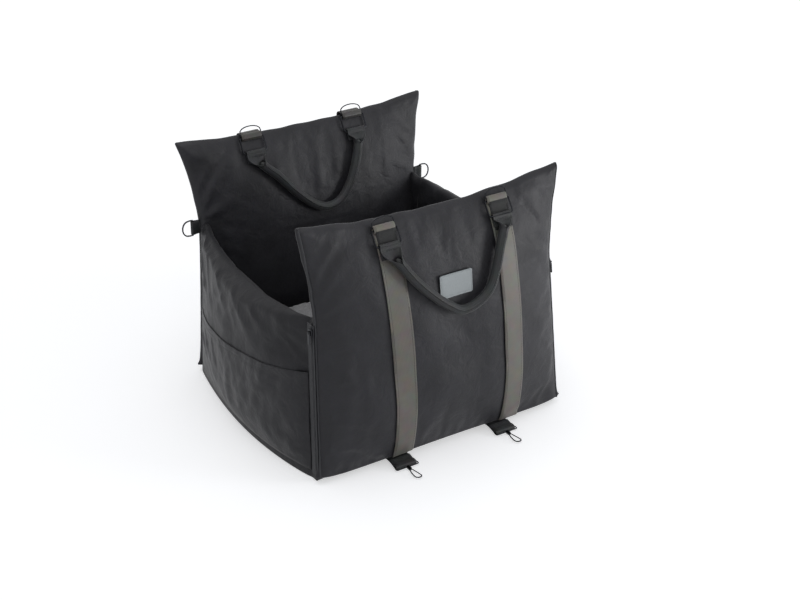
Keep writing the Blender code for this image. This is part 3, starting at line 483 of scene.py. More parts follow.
def clothBlock(cuts, place, size):
    # a closed block cut into a grid, each corner moved to place(a, b, c), with flat cloth
    # coordinates in metres
    bm = bmesh.new()
    bmesh.ops.create_cube(bm, size=2)
    for axis, count in enumerate(cuts):
        along = [e for e in bm.edges if abs(e.verts[0].co[axis] - e.verts[1].co[axis]) > 1]
        bmesh.ops.subdivide_edges(bm, edges=along, cuts=count, use_grid_fill=True)
    layer = bm.loops.layers.uv.new("cloth")
    for face in bm.faces:
        middle = face.calc_center_median()
        level = max(range(3), key=lambda i: abs(middle[i]))
        first, second = [(1, 2), (0, 2), (0, 1)][level]
        for loop in face.loops:
            spot = loop.vert.co
            loop[layer].uv = (spot[first] * size[first] / 2, spot[second] * size[second] / 2)
    shares = [tuple(vert.co) for vert in bm.verts]
    for vert, share in zip(bm.verts, shares):
        vert.co = Vector(place(*share))
    bmesh.ops.recalc_face_normals(bm, faces=bm.faces)
    if bm.calc_volume(signed=True) < 0:
        bmesh.ops.reverse_faces(bm, faces=bm.faces)
    return meshFrom(bm), shares


def vertexData(mesh, kind):
    flat = np.empty(len(mesh.vertices) * 3)
    mesh.vertices.foreach_get(kind, flat)
    return flat.reshape(-1, 3)


def setPoints(mesh, points):
    mesh.vertices.foreach_set("co", np.asarray(points, float).ravel())
    mesh.update()


def sectionMesh(sections):
    # a solid from matching closed sections of (point, place on the flat cloth)
    bm = bmesh.new()
    layer = bm.loops.layers.uv.new("cloth")
    rings = [[(bm.verts.new(p), uv) for p, uv in section] for section in sections]
    count = len(rings[0])
    for ring, other in zip(rings, rings[1:]):
        for k in range(count):
            m = (k + 1) % count
            corners = (ring[k], ring[m], other[m], other[k])
            face = bm.faces.new([vert for vert, uv in corners])
            for loop, (vert, uv) in zip(face.loops, corners):
                loop[layer].uv = uv
    for ring in (rings[0], rings[-1][::-1]):
        bm.faces.new([vert for vert, uv in ring])
    bmesh.ops.recalc_face_normals(bm, faces=bm.faces)
    mesh = meshFrom(bm)
    mesh.set_sharp_from_angle(angle=math.radians(55))
    return mesh


def tapeMesh(rows, normals, thickness):
    # webbing from rows of points across it: its faces lie half its thickness either way
    half = thickness / 2
    middle = len(rows[0]) // 2
    sections = []
    run = 0.0
    for row, normal, before in zip(rows, normals, rows[:1] + rows):
        run += (row[middle] - before[middle]).length
        width = (row[-1] - row[0]).length
        edge = (row[-1] - row[0]).normalized() * half * 0.7
        upper, lower = ([(p + n * off, ((p - row[0]).length - width / 2, run))
                         for p, n in zip(row, normal)] for off in (half, -half))
        sections.append(upper + [(row[-1] + edge, (width / 2 + half, run))] + lower[::-1]
                        + [(row[0] - edge, (-width / 2 - half, run))])
    return sectionMesh(sections)


def cordMesh(path, radius, sideCount=10):
    # a round cord or wire along a path; radius is a length or a function of the index
    sections = []
    run = 0.0
    across = None
    for index, spot in enumerate(path):
        before = path[max(index - 1, 0)]
        after = path[min(index + 1, len(path) - 1)]
        tangent = (after - before).normalized()
        if across is None:
            across = tangent.orthogonal().normalized()
        across = (across - tangent * across.dot(tangent)).normalized()
        up = tangent.cross(across)
        size = radius(index) if callable(radius) else radius
        turns = [2 * math.pi * step / sideCount for step in range(sideCount)]
        sections.append([(spot + (across * math.cos(t) + up * math.sin(t)) * size,
                          (size * t, run)) for t in turns])
        run += (after - spot).length
    return sectionMesh(sections)


def joined(meshes):
    bm = bmesh.new()
    for mesh in meshes:
        bm.from_mesh(mesh)
        bpy.data.meshes.remove(mesh)
    return meshFrom(bm)


def stitchPiece(name, threads, length, radius, material, body, slotName):
    # short threads, each a spindle lying along its line; threads are (place, along, normal)
    meshes = []
    for place, along, normal in threads:
        reach = along.normalized() * length / 2
        lift = normal.normalized() * radius * 0.3
        path = [place - reach, place - reach * 0.6 + lift, place + reach * 0.6 + lift,
                place + reach]
        meshes.append(cordMesh(path, lambda i: radius * (0.4, 1, 1, 0.4)[i], 6))
    return newPiece(name, joined(meshes), material, body, slotName)


def ripple(x, y, z, spacing):
    return noise.noise(Vector((x, y, z)) / spacing)


def creaseTable(*rows):
    # creases as (start u, start v, end u, end v, height, half width), in tenths of a millimetre
    return [[value / 10000 for value in row] for row in rows]


def creaseHeight(u, v, creases):
    height = 0.0
    for u0, v0, u1, v1, rise, width in creases:
        du, dv = u1 - u0, v1 - v0
        length = math.hypot(du, dv)
        share = ((u - u0) * du + (v - v0) * dv) / (length * length)
        if -0.15 < share < 1.15:
            off = ((u - u0) * dv - (v - v0) * du) / length
            off += 0.042 * length * math.sin(math.pi * share)
            spread = width * (0.7 + 0.7 * bounded(share, 0, 1))
            ends = smooth((share + 0.15) / 0.3) * smooth((1.15 - share) / 0.55)
            height += rise * ends * math.exp(-(off / spread) ** 2)
            # a shallow valley runs beside the ridge
            height -= 0.45 * rise * ends * math.exp(-((off - 1.9 * spread) / spread) ** 2)
    return height


# Padded pieces: built slightly slim, swollen by air pressure with spare cloth, and held at
# their seams, so that the cloth puckers there as sewn cloth does

clothSettings = {
    "quality": 4, "mass": 0.25, "use_pressure": True, "tension_stiffness": 25,
    "compression_stiffness": 25, "shear_stiffness": 8, "bending_stiffness": 0.3,
    "vertex_group_mass": "sewn",
}
puffFrames = 20
sideSlip = 0.005               # how far a point may move along its face
puffs = []


def preparePuff(piece, s, hold, mask, highest):
    mesh = piece.data
    rest, normals = vertexData(mesh, "co"), vertexData(mesh, "normal")
    setPoints(mesh, rest - normals * s["slim"] * (1 - hold)[:, None])
    puffs.append((piece, rest, normals, s["lowest"], highest, mask))
    group = piece.vertex_groups.new(name="sewn")
    for level in (0.25, 0.5, 0.75, 1.0):
        chosen = np.where(np.abs(hold - level) < 0.125)[0]
        if len(chosen):
            group.add([int(i) for i in chosen], level, "REPLACE")
    puff = piece.modifiers.new("puff", "CLOTH")
    for name, value in clothSettings.items():
        setattr(puff.settings, name, value)
    puff.settings.uniform_pressure_force = s["pressure"]
    puff.settings.shrink_min = -s["slack"]
    puff.settings.effector_weights.gravity = 0
    puff.collision_settings.use_collision = False
    puff.collision_settings.use_self_collision = False
    puff.point_cache.frame_start = 1
    puff.point_cache.frame_end = puffFrames


def runPuffs():
    for frameNumber in range(1, puffFrames + 1):
        scene.frame_set(frameNumber)
    graph = bpy.context.evaluated_depsgraph_get()
    swollen = [vertexData(puff[0].evaluated_get(graph).data, "co") for puff in puffs]
    for (piece, rest, normals, lowest, highest, mask), points in zip(puffs, swollen):
        move = points - rest
        out = np.einsum("ij,ij->i", move, normals)
        slip = move - out[:, None] * normals
        reach = np.linalg.norm(slip, axis=1) + 1e-9
        slip *= (np.minimum(reach, sideSlip) / reach)[:, None]
        out = np.clip(out, lowest, highest)
        setPoints(piece.data, rest + (normals * out[:, None] + slip) * mask[:, None])
        piece.modifiers.clear()
        piece.vertex_groups.clear()
        finer = piece.modifiers.new("finer", "SUBSURF")
        finer.levels = finer.render_levels = 1
        graph = bpy.context.evaluated_depsgraph_get()
        mesh = bpy.data.meshes.new_from_object(piece.evaluated_get(graph))
        piece.modifiers.clear()
        piece.data = mesh
        mesh.shade_smooth()
    scene.frame_set(1)


def padPiece(name, s, place, held, material, body, slotName, node):
    # held(a, b, c) says how firmly a corner is sewn, its share of the swelling and how far
    # it may stand out
    mesh, shares = clothBlock(s["cuts"], place, s["flat"])
    piece = newPiece(name, mesh, material, body, slotName, node)
    preparePuff(piece, s, *np.array([held(*share) for share in shares]).T)
    return piece


def wave(sizes, x, y, z):
    height, spacing = sizes
    return height * ripple(x, y, z, spacing)


def pucker(sizes, gap, x, y, z):
    # small folds that a seam draws up: their height, their spacing, their reach from the seam
    height, spacing, reach = sizes
    return wave((height, spacing), x, y, z) * math.exp(-gap / reach)


panelPad = {
    "cuts": (84, 76, 2), "flat": (0.50, 0.45, 0.03), "fill": 0.7,
    "sidePucker": (0.0015, 0.016, 0.034),
    "topPucker": (0.0008, 0.020, 0.030),
    "footPucker": (0.0008, 0.017, 0.034),
    "undulation": (0.0040, 0.075), # slow rise and fall of the padding, and its spacing
    "unevenness": (0.0008, 0.028),
    "rimPull": 0.0026,         # how far a seam's two edges draw back from its middle
    "edgeFullness": 0.0050,    # how far the padding stands out just inside its seams
    "creaseShares": {True: 0.36, False: 0.252},
    "cornerRound": {"top": 0.0022, "foot": 0.0080},
    "tipReach": 0.0040,
    "edgeWave": 0.0034,        # rise and fall of the edges that stand free
    "slack": 0.012, "pressure": 3.0, "slim": 0.002,
    "lowest": -0.0022, "highest": {True: 0.0010, False: 0.0030},
}
# creases in the outer face of the front panel, and in the inner face of the rear one
frontCreases = creaseTable(
    (-2380, 3000, -1500, 3500, 38, 70), (-2400, 3180, -1680, 4050, 34, 65),
    (-2430, 3520, -1960, 4280, 30, 60), (-2380, 2840, -1400, 2880, 30, 75),
    (-2400, 2620, -1650, 2320, 28, 70), (-2420, 2320, -1880, 1860, 26, 70),
    (-1980, 2450, -2120, 700, 36, 110), (-1660, 2000, -1760, 450, 26, 90),
    (-2300, 1500, -2360, 300, 24, 60), (-2050, 1100, -1300, 850, 24, 80),
    (-2150, 600, -1500, 480, 22, 70), (2460, 1120, 1880, 1420, -36, 75),
    (2430, 3000, 1720, 3320, 28, 75), (2480, 4240, 1700, 3500, 30, 100),
    (1960, 260, 2400, 780, 32, 70), (1650, 220, 2060, 620, 28, 65),
    (2420, 1800, 1920, 2000, 26, 70), (500, 300, 700, 850, 20, 80),
    (-600, 280, -400, 800, 22, 75), (-100, 2000, 600, 2350, 16, 120),
    (-500, 1500, 300, 1200, 16, 120))
rearCreases = creaseTable(
    (-2260, 3040, -1600, 3380, 42, 80), (-2300, 3160, -1820, 3920, 34, 75),
    (-2280, 2920, -1500, 2800, -40, 85), (-2460, 4400, -1860, 3720, 28, 100),
    (-2360, 3500, -1900, 4200, 24, 70), (2260, 3040, 1660, 3450, 36, 80),
    (2300, 3300, 1900, 4080, 30, 80), (-1500, 4280, -1280, 3950, -30, 110),
    (-2000, 2500, -1300, 2150, 26, 100))


def tiedShare(panel, outer, x, z):
    # 1 where a strap's fold, a buckle or the flat end of a handle presses the padding
    if outer != (panel == front):
        return 0
    near = min(abs(x - strapX(panel, side)) for side in (-1, 1))
    return 1 - smooth(math.hypot(max(0, near - 0.024), max(0, 0.385 - z)) / 0.030)


def heldShare(outer, half, x, z):
    # 1 where a side wall or the base pad is sewn against the inner face
    if outer:
        return 0
    wallSide = smooth((abs(x) - half + 0.046) / 0.012) * (1 - smooth((z - 0.300) / 0.016))
    return max(wallSide, 1 - smooth((z - 0.026) / 0.012))


def tallPad(panel):
    s = panelPad
    name = panelNames[panel]
    creases = frontCreases if panel == front else rearCreases

    def place(a, b, c):
        foot, top = panelFoot(a), panelTop(panel, a)
        z = blend(foot, top, (b + 1) / 2)
        half = seamHalfWidth(panel, z)
        x = a * half
        y = blend(panelFace(panel, False, x, z), panelFace(panel, True, x, z), (c + 1) / 2)
        sideGap, topGap, footGap = half * (1 - abs(a)), top - z, z - foot
        rimGap = min(sideGap, topGap, footGap)
        ridge = pucker(s["sidePucker"], sideGap, panel * 3 + c, a * 0.03 + c, z)
        ridge += pucker(s["topPucker"], topGap, x, 7 + c, panel)
        ridge += pucker(s["footPucker"], footGap, x, 17 + c, panel)
        slow = wave(s["undulation"], x, 3 * panel + c, z * 0.8)
        ridge += slow * (1 - math.exp(-rimGap / 0.05))
        ridge += wave(s["unevenness"], x * 1.3, 5 * panel + c, z * 0.7)
        seen = (c > 0) == (panel == front)
        ridge += s["creaseShares"][seen] * creaseHeight(x if seen else -x, z, creases)
        for gap in (sideGap, topGap):
            ridge += s["edgeFullness"] * math.exp(-gap / 0.030) * (1 - math.exp(-gap / 0.006))
        calm = 1 - max(tiedShare(panel, c > 0, x, z), heldShare(c > 0, half, x, z))
        if panel == rear and c < 0 and z > 0.26 and abs(x) < 0.15:
            calm *= 0.45
        calm *= 1 - math.exp(-rimGap / 0.004)
        pull = s["rimPull"] * bounded((c * c - 1 / 9) / (8 / 9), 0, 1)
        lift = wave((s["edgeWave"], 0.045), x, panel, 9) * smooth((b + 1) / 2 * 8 - 7)
        rounding = s["cornerRound"]["top" if b > 0 else "foot"] * abs(a * b) ** 16
        free = smooth((z - 0.305) / 0.030) * abs(a) ** 5
        sway = wave((s["edgeWave"], 0.038), z, 4 * panel, math.copysign(3, a))
        reach = s["tipReach"] * smooth((z - 0.38) / 0.07)
        x += math.copysign(free * (sway + reach) - rounding, a)
        z -= math.copysign(rounding, b)
        if abs(a) == 1:
            x -= math.copysign(pull, a)
        if abs(b) == 1:
            z -= math.copysign(pull, b)
        return x, y + panel * c * ridge * calm, z + lift

    def held(a, b, c):
        rim = max(abs(a), abs(b))
        x, y, z = place(a, b, c)
        tied = 0.9 * tiedShare(panel, c > 0, x, z)
        return (1.0 if rim > 0.985 else 0.5 if rim > 0.965 else 0.0,
                1 - max(tied, heldShare(c > 0, seamHalfWidth(panel, z), x, z)),
                s["highest"][(c > 0) == (panel == front)])

    return padPiece(f"{name}Pad", s, place, held, shellCloth, panelBodies[panel],
                    "shell_fabric", f"{name}_panel")


wallPad = {
    "cuts": (80, 52, 7), "flat": (0.44, 0.29, 0.04), "fill": 0.6,
    "endPucker": (0.0014, 0.020, 0.040), "topPucker": (0.0018, 0.028, 0.030),
    "undulation": (0.0046, 0.070), "unevenness": (0.0009, 0.026), "creaseShare": 0.42,
    "slack": 0.025, "pressure": 3.0, "slim": 0.003, "lowest": -0.0040, "highest": 0.0035,
}
# creases in the outer face of a side wall and in its pocket, as places along Y and Z
wallCreases = creaseTable(
    (1950, 2620, 1500, 1800, 46, 75), (1500, 2800, 1240, 1960, 40, 70),
    (900, 2760, 300, 2080, 42, 85), (200, 2700, -500, 2140, 42, 85),
    (-400, 2620, -1100, 2220, 38, 80), (-1100, 2720, -1760, 2320, 44, 80),
    (-1300, 2400, -1950, 2000, 36, 75), (2050, 2150, 1200, 1960, 36, 80),
    (-1880, 2720, -1500, 2160, -34, 70), (600, 2460, 1100, 1900, -34, 80),
    (0, 2400, 500, 1980, 30, 75))
pocketCreases = creaseTable(
    (1900, 1100, 1400, 600, 40, 75), (1600, 1300, 1200, 850, 34, 65),
    (1100, 1400, 850, 800, 30, 70), (-1200, 1650, -600, 1100, 34, 85),
    (-1800, 1500, -1100, 820, 38, 90), (-1850, 1050, -1200, 600, 32, 80),
    (-600, 1300, -100, 600, 26, 95), (-1860, 650, -1400, 300, 30, 70),
    (200, 1200, 400, 500, 26, 100))


def wallPadPiece(side, sideName):
    s = wallPad

    def place(a, b, c):
        topRound = seat["outerRound"] if c > 0 else seat["innerRound"]
        top = wallTop(a) - topRound * (1 - math.cos(c * math.pi / 2))
        z = blend(seat["wallFoot"], top, (b + 1) / 2)
        x = wallOuterX(a, z) - wallThickness(a) * (1 - math.sin(c * math.pi / 2)) / 2
        y = wallY(a, x, z)
        endGap = min(abs(y + 0.21), abs(y - 0.22))
        ridge = pucker(s["endPucker"], endGap, side * 5 + c, y * 0.25, z)
        ridge += wave(s["undulation"], side * 2 + c, y, z * 1.2)
        ridge += wave(s["unevenness"], side * 3 + c, y * 1.2, z * 0.8)
        if c > 0.3:
            creased = smooth((c - 0.3) / 0.5)
            ridge += s["creaseShare"] * creaseHeight(y, z, wallCreases) * creased
        calm = (1 - math.exp(-endGap / 0.014)) * smooth((z - 0.018) / 0.035)
        out = math.copysign(smooth(abs(c)), c)
        lift = pucker(s["topPucker"], wallTop(a) - z, side * 9, y, c * 0.02)
        return side * (x + out * ridge * calm), y, z + lift * calm * (1 - abs(c) ** 3)

    def held(a, b, c):
        return (1.0 if abs(a) > 0.97 or b < -0.97 else 0.5 if abs(a) > 0.945 else 0.0,
                smooth((1 - abs(a)) / 0.07) * smooth((b + 0.82) / 0.10), s["highest"])

    return padPiece(f"{sideName}WallPad", s, place, held, wallClothPaintedShade, "base", "shell_fabric",
                    f"{sideName}_wall")


cushionPad = {
    "halfWidth": 0.2185, "front": -0.168, "rear": 0.176, "low": 0.0262, "thickness": 0.097,
    "crown": 0.003, "draw": 0.008, "edgeRound": 0.013, "cuts": (82, 66, 12),
    "flat": (0.43, 0.34, 0.09), "fill": 0.6, "lumps": (0.0045, 0.045), "pile": (0.0016, 0.012),
    "slack": 0.05, "pressure": 2.5, "slim": 0.003, "lowest": -0.006, "highest": 0.004,
}


def cushionPiece():
    s = cushionPad

    def place(a, b, c):
        rim = max(abs(a), abs(b))
        full = math.sqrt(max(0.0, (1 - a ** 4) * (1 - b ** 4)))
        inset = s["draw"] * (1 - c * c) * (1 - (a * b) ** 2) * rim ** 4
        inset += s["edgeRound"] * abs(c) ** 5 * rim ** 7
        x = a * (s["halfWidth"] - inset)
        y = (s["front"] + s["rear"]) / 2 + b * ((s["rear"] - s["front"]) / 2 - inset)
        half = s["thickness"] / 2
        top = s["thickness"] - s["crown"] * (1 - full)
        z = blend(half, top, c) if c > 0 else blend(half, 0, -c)
        lump = wave(s["lumps"], x, y, c * 0.02) * full + wave(s["pile"], x, y, 4)
        return x, y, s["low"] + z + lump * max(0, c)

    def held(a, b, c):
        seam = abs(c - 0.08) < 0.09 and max(abs(a), abs(b)) > 0.99
        return (1.0 if c < -0.9 else 0.75 if seam else 0.0, 0.0 if c < -0.8 else 1.0,
                s["highest"])

    padPiece("plushCushion", s, place, held, plush, "seat_cushion", "plush", "cushion")


basePadSizes = {
    "thickness": 0.022, "sideGap": 0.0003, "round": 0.006, "cuts": (60, 50, 6),
    "flat": (0.47, 0.41, 0.02), "fill": 0.8, "sunk": 0.0008, "sunkSpacing": 0.050,
    "slack": 0.02, "pressure": 1.5, "slim": 0.0008, "lowest": -0.0010, "highest": 0.0004,
}


def basePadPiece():
    s = basePadSizes

    def place(a, b, c):
        z = s["thickness"] * (c + 1) / 2
        rim = max(abs(a), abs(b))
        inset = s["round"] * (1 - math.sqrt(max(0, 1 - abs(c) ** 3))) * rim ** 12
        frontEdge, rearEdge = (panelFace(panel, False, a * seat["baseHalf"], s["thickness"])
                               - panel * s["sideGap"] for panel in (front, rear))
        y = blend(frontEdge + inset, rearEdge - inset, (b + 1) / 2)
        along = y / seat["halfDepth"]
        x = a * (wallOuterX(along, z) - wallThickness(along) - s["sideGap"] - inset)
        if c > 0:
            z -= s["sunk"] * (1 + ripple(x, y, 2, s["sunkSpacing"])) * c
        return x, y, z

    def held(a, b, c):
        level = abs(c) > 0.9
        return 1.0 if level else 0.0, 0.0 if level else 1.0, s["highest"]

    padPiece("basePad", s, place, held, baseCloth, "base", "base_fabric", "base_pad")


strap = {
    "halfWidth": 0.0195, "thickness": 0.0019, "gap": 0.0009, "foot": 0.014, "columns": 9,
    "rows": 75, "foldRadius": 0.0031, # from a bar's axis to the middle of the webbing round it
    "barSpacing": 0.0042, "tongue": 0.0050, "slant": 0.012,
    # the dark sheet on the strap that paints the shade in each front buckle's window
    "shadeSheetFrom": 0.0010, "shadeSheetTo": 0.0460, "shadeSheetThickness": 0.0007, "shadeSheetShare": 0.92,
    "shadeSheetShift": 0.0015, "footPull": 0.040, "stitchSpacing": 0.0049,
    "middles": {front: 0.006, rear: -0.0075}, "offsets": {front: 0.111, rear: 0.1055},
}
panelBodies = {front: "front", rear: "base"}


def strapX(panel, side):
    return strap["middles"][panel] + side * strap["offsets"][panel]


pads = [tallPad(front), tallPad(rear)]
pads += [wallPadPiece(side, sideName) for sideName, side in sides.items()]
cushionPiece()
basePadPiece()
print("padded pieces shaped")
runPuffs()
print("padded pieces swollen")

padTrees = {}
for pad in pads:
    spots = [v.co.copy() for v in pad.data.vertices]
    corners = [tuple(p.vertices) for p in pad.data.polygons]
    padTrees[pad.name] = BVHTree.FromPolygons(spots, corners)


def padFaceY(padName, x, z, towards, fallback):
    # where a ray along Y from outside meets a swollen pad
    hit = padTrees[padName].ray_cast(Vector((x, -towards, z)), Vector((0, towards, 0)))
    return hit[0].y if hit[0] is not None else fallback


def padFaceX(padName, y, z, side, fallback):
    hit = padTrees[padName].ray_cast(Vector((side, y, z)), Vector((-side, 0, 0)))
    return abs(hit[0].x) if hit[0] is not None else fallback


# Pockets: a single cloth with a folded, elastic hem along its mouth

pocketCut = {
    "cloth": 0.0012, "foot": 0.016, "frontHeight": 0.194, "rearHeight": 0.143, "sag": 0.004,
    "depth": 0.0085, "edgeGap": 0.0014, "rearShare": 0.93, "riseShare": 0.25, "fullPower": 4,
    "hem": 0.011,              # width of the folded hem
    "hemThickness": 0.0009,    # what the fold adds
    "gather": (0.0017, 0.010, 0.035), # small folds that the elastic draws up
    "undulation": (0.0035, 0.060), "unevenness": (0.0012, 0.022), "creaseShare": 0.65,
    "stitchSpacing": 0.0042, "columns": 132, "rows": 60,
    "fullness": 1.08,          # width of the flat cloth for each width of its mouth
    "flatHeight": 0.196,
}


def pocketSpot(side, padName, share, row):
    # a place on the outside of the cloth, as its distance from the middle, its Y and its Z
    s = pocketCut
    along = blend(landShare - 1, s["rearShare"], share)
    top = blend(s["frontHeight"], s["rearHeight"], share) - s["sag"] * math.sin(math.pi * share)
    up = (row / s["rows"]) ** 0.85
    z = blend(s["foot"], top, up)
    drop = top - z
    x = wallOuterX(along, z)
    y = wallY(along, x, z)
    spread = 2 * share - 1
    rise = math.sin(math.pi / 2 * min(1.0, up / s["riseShare"]))
    fullness = (1 - spread ** s["fullPower"]) * rise
    folds = pucker(s["gather"], drop, y, side * 4, z * 0.08) * (0.45 + 0.55 * share)
    folds += wave(s["undulation"], y, side * 6, z)
    folds += s["creaseShare"] * creaseHeight(y, z, pocketCreases)
    folds += wave(s["unevenness"], y * 1.2, side * 7, z)
    stand = blend(s["edgeGap"], s["depth"], fullness) * (1 - 0.5 * math.exp(-drop / 0.02))
    stand += folds * (1 - math.exp(-min(1 - abs(spread), up) / 0.04))
    if drop < s["hem"]:
        stand += s["hemThickness"] * smooth((s["hem"] - drop) / 0.0018)
    elif drop < s["hem"] + 0.004:
        stand -= 0.0006 * (1 - abs(drop - s["hem"] - 0.002) / 0.002)
    wall = padFaceX(padName, y, z, side, x) + 0.0004 + s["cloth"]
    return max(x + stand, wall), y, z


def pocketPiece(side, sideName):
    s = pocketCut
    padName = f"{sideName}WallPad"
    wide, high = s["columns"], s["rows"]
    grid = np.array([[pocketSpot(side, padName, i / wide, j) for j in range(high + 1)]
                     for i in range(wide + 1)])
    eased = grid[:, :, 0].copy()
    for repeat in range(2):
        more = np.pad(eased, 1, mode="edge")
        eased = (more[:-2, 1:-1] + more[2:, 1:-1] + more[1:-1, :-2] + more[1:-1, 2:]
                 + 4 * eased) / 8
        eased = np.maximum(eased, grid[:, :, 0] - 0.0006)
    bm = bmesh.new()
    layer = bm.loops.layers.uv.new("cloth")
    outer, inner = ([[bm.verts.new((side * (x - off), y, z)) for x, (was, y, z) in zip(*pair)]
                     for pair in zip(eased, grid)] for off in (0, s["cloth"]))
    faces = [(sheet[i][j], sheet[i + 1][j], sheet[i + 1][j + 1], sheet[i][j + 1])
             for sheet in (outer, inner) for i in range(wide) for j in range(high)]
    border = [(i, 0) for i in range(wide)] + [(wide, j) for j in range(high)]
    border += [(wide - i, high - j) for i, j in border]
    for (i, j), (k, m) in zip(border, border[1:] + border[:1]):
        faces.append((outer[i][j], outer[k][m], inner[k][m], inner[i][j]))
    for corners in faces:
        for loop in bm.faces.new(corners).loops:
            loop[layer].uv = loop.vert.co.yz
    bmesh.ops.recalc_face_normals(bm, faces=bm.faces)
    area = sum(f.calc_area() for f in bm.faces) / 2
    piece = newPiece(f"{sideName}PocketCloth", meshFrom(bm), pocketClothPaintedShade, "base",
                     "pocket_fabric", f"{sideName}_pocket")

    threads = []
    run = 0.0
    spots = []
    for column, depths in zip(grid, eased):
        line = column[-1][2] - s["hem"] - 0.0012
        j = min(range(high), key=lambda k: abs(column[k][2] - line))
        spots.append(Vector((side * (depths[j] + 0.0001), column[j][1], line)))
    for before, spot in zip(spots, spots[1:-1]):
        run += (spot - before).length
        if run > s["stitchSpacing"]:
            run = 0.0
            threads.append((spot, spot - before, Vector((side, 0, 0))))
    thread = stitchPiece(f"{sideName}PocketThread", threads, 0.0030, 0.00035, darkThread,
                         "base", "pocket_fabric")


for sideName, side in sides.items():
    pocketPiece(side, sideName)
print("pockets sewn on")

# Webbing straps: each lies on its panel's outer face and folds over a buckle's and a ring's bar


def foldAxes(panel, sideName):
    # the buckle bar, and the directions up the slope and off the face, from the two bars
    name = panelNames[panel]
    bar = Vector(jointPlaces[f"{name}_buckle_swing"])
    ringBar = Vector(jointPlaces[f"{name}_strap_ring_{sideName}_tip"])
    up = Vector((0, ringBar.y - bar.y, ringBar.z - bar.z)).normalized()
    return Vector((ringBar.x, bar.y, bar.z)), up, Vector((0, -up.z, up.y))


def straightRow(centre, halfWidth, columns, direction=Vector((1, 0, 0))):
    return [centre + direction * (halfWidth * (2 * k / (columns - 1) - 1))
            for k in range(columns)]


def liftedRows(panel, xAt, low, high):
    # rows that lie on the pad's outer face and bridge its small wrinkles
    s = strap
    padName = f"{panelNames[panel]}Pad"
    heights = [blend(low, high, i / (s["rows"] - 1)) for i in range(s["rows"])]
    spots = [[(p.x, p.z) for p in straightRow(Vector((xAt(z), 0, z)), s["halfWidth"],
                                              s["columns"])] for z in heights]
    plain = np.array([[panelFace(panel, True, x, z) for x, z in row] for row in spots])
    depth = np.array([[padFaceY(padName, x, z, -panel, face)
                       for (x, z), face in zip(row, faces)] for row, faces in zip(spots, plain)])
    depth = (depth - plain) * panel
    spans = [depth[max(0, i - 3):i + 4] for i in range(len(depth))]
    bridged = np.array([0.6 * span.max(axis=0) + 0.4 * span.max() for span in spans])
    bridged = np.maximum(bridged, depth)
    for repeat in range(3):
        longer = np.pad(bridged, ((1, 1), (0, 0)), mode="edge")
        bridged = np.maximum((longer[:-2] + 2 * longer[1:-1] + longer[2:]) / 4, depth)
    # the strap's foot is drawn in against the pad
    drawn = np.array([[smooth((z - s["foot"]) / s["footPull"])] for z in heights])
    ys = plain + (depth + (bridged - depth) * drawn) * panel
    normals = [[panelNormal(panel, True, x, z) for x, z in row] for row in spots]
    lift = s["gap"] + s["thickness"] / 2
    rows = [[Vector((x, y, z)) + n * lift for (x, z), y, n in zip(*row)]
            for row in zip(spots, ys, normals)]
    return rows, normals


def foldRows(bar, up, away):
    # the webbing's middle line round the two bars, from its back to the sewn tongue
    s = strap
    radius, spacing = s["foldRadius"], s["barSpacing"]

    def turned(degrees, along):
        cos, sin = math.cos(math.radians(degrees)), math.sin(math.radians(degrees))
        return along + radius * cos, radius * sin, up * cos + away * sin

    path = [(blend(-0.006, spacing, step / 3), -radius, -away) for step in range(4)]
    path += [turned(-90 + 15 * step, spacing) for step in range(1, 13)]
    path += [turned(90 + 66 * step / 7, 0) for step in range(8)]
    path += [(-s["tongue"] * 0.8, 0, away * 0.96 - up * 0.25), (-s["tongue"], -0.0006, away)]
    rows = [straightRow(bar + up * along + away * off, s["halfWidth"], s["columns"])
            for along, off, normal in path]
    return rows, [[normal.normalized()] * s["columns"] for along, off, normal in path]


def shadeSheetPiece(name, bar, x, rows, normals):
    # a dark sheet over the strap behind the buckle: painted shade in the buckle's window
    s = strap
    lift = s["thickness"] / 2 + s["shadeSheetThickness"]
    shadeSheetRows, shadeSheetNormals = [], []
    last = s["rows"] - 1
    for step in range(11):
        z = bar.z - blend(s["shadeSheetFrom"], s["shadeSheetTo"], step / 10)
        above = next((i for i in range(1, last) if rows[i][0].z > z), last)
        low, high, offs = rows[above - 1], rows[above], normals[above]
        share = min((z - low[0].z) / (high[0].z - low[0].z), 1)
        lifted = [p.lerp(q, share) + n * lift for p, q, n in zip(low, high, offs)]
        shadeSheetRows.append([Vector((blend(x, p.x, s["shadeSheetShare"]) + s["shadeSheetShift"], p.y, z))
                         for p in lifted])
        shadeSheetNormals.append(offs)
    newPiece(f"{name}ShadeSheet", tapeMesh(shadeSheetRows, shadeSheetNormals, s["shadeSheetThickness"]), shadeSheetWebbing,
             "front", "black_webbing")


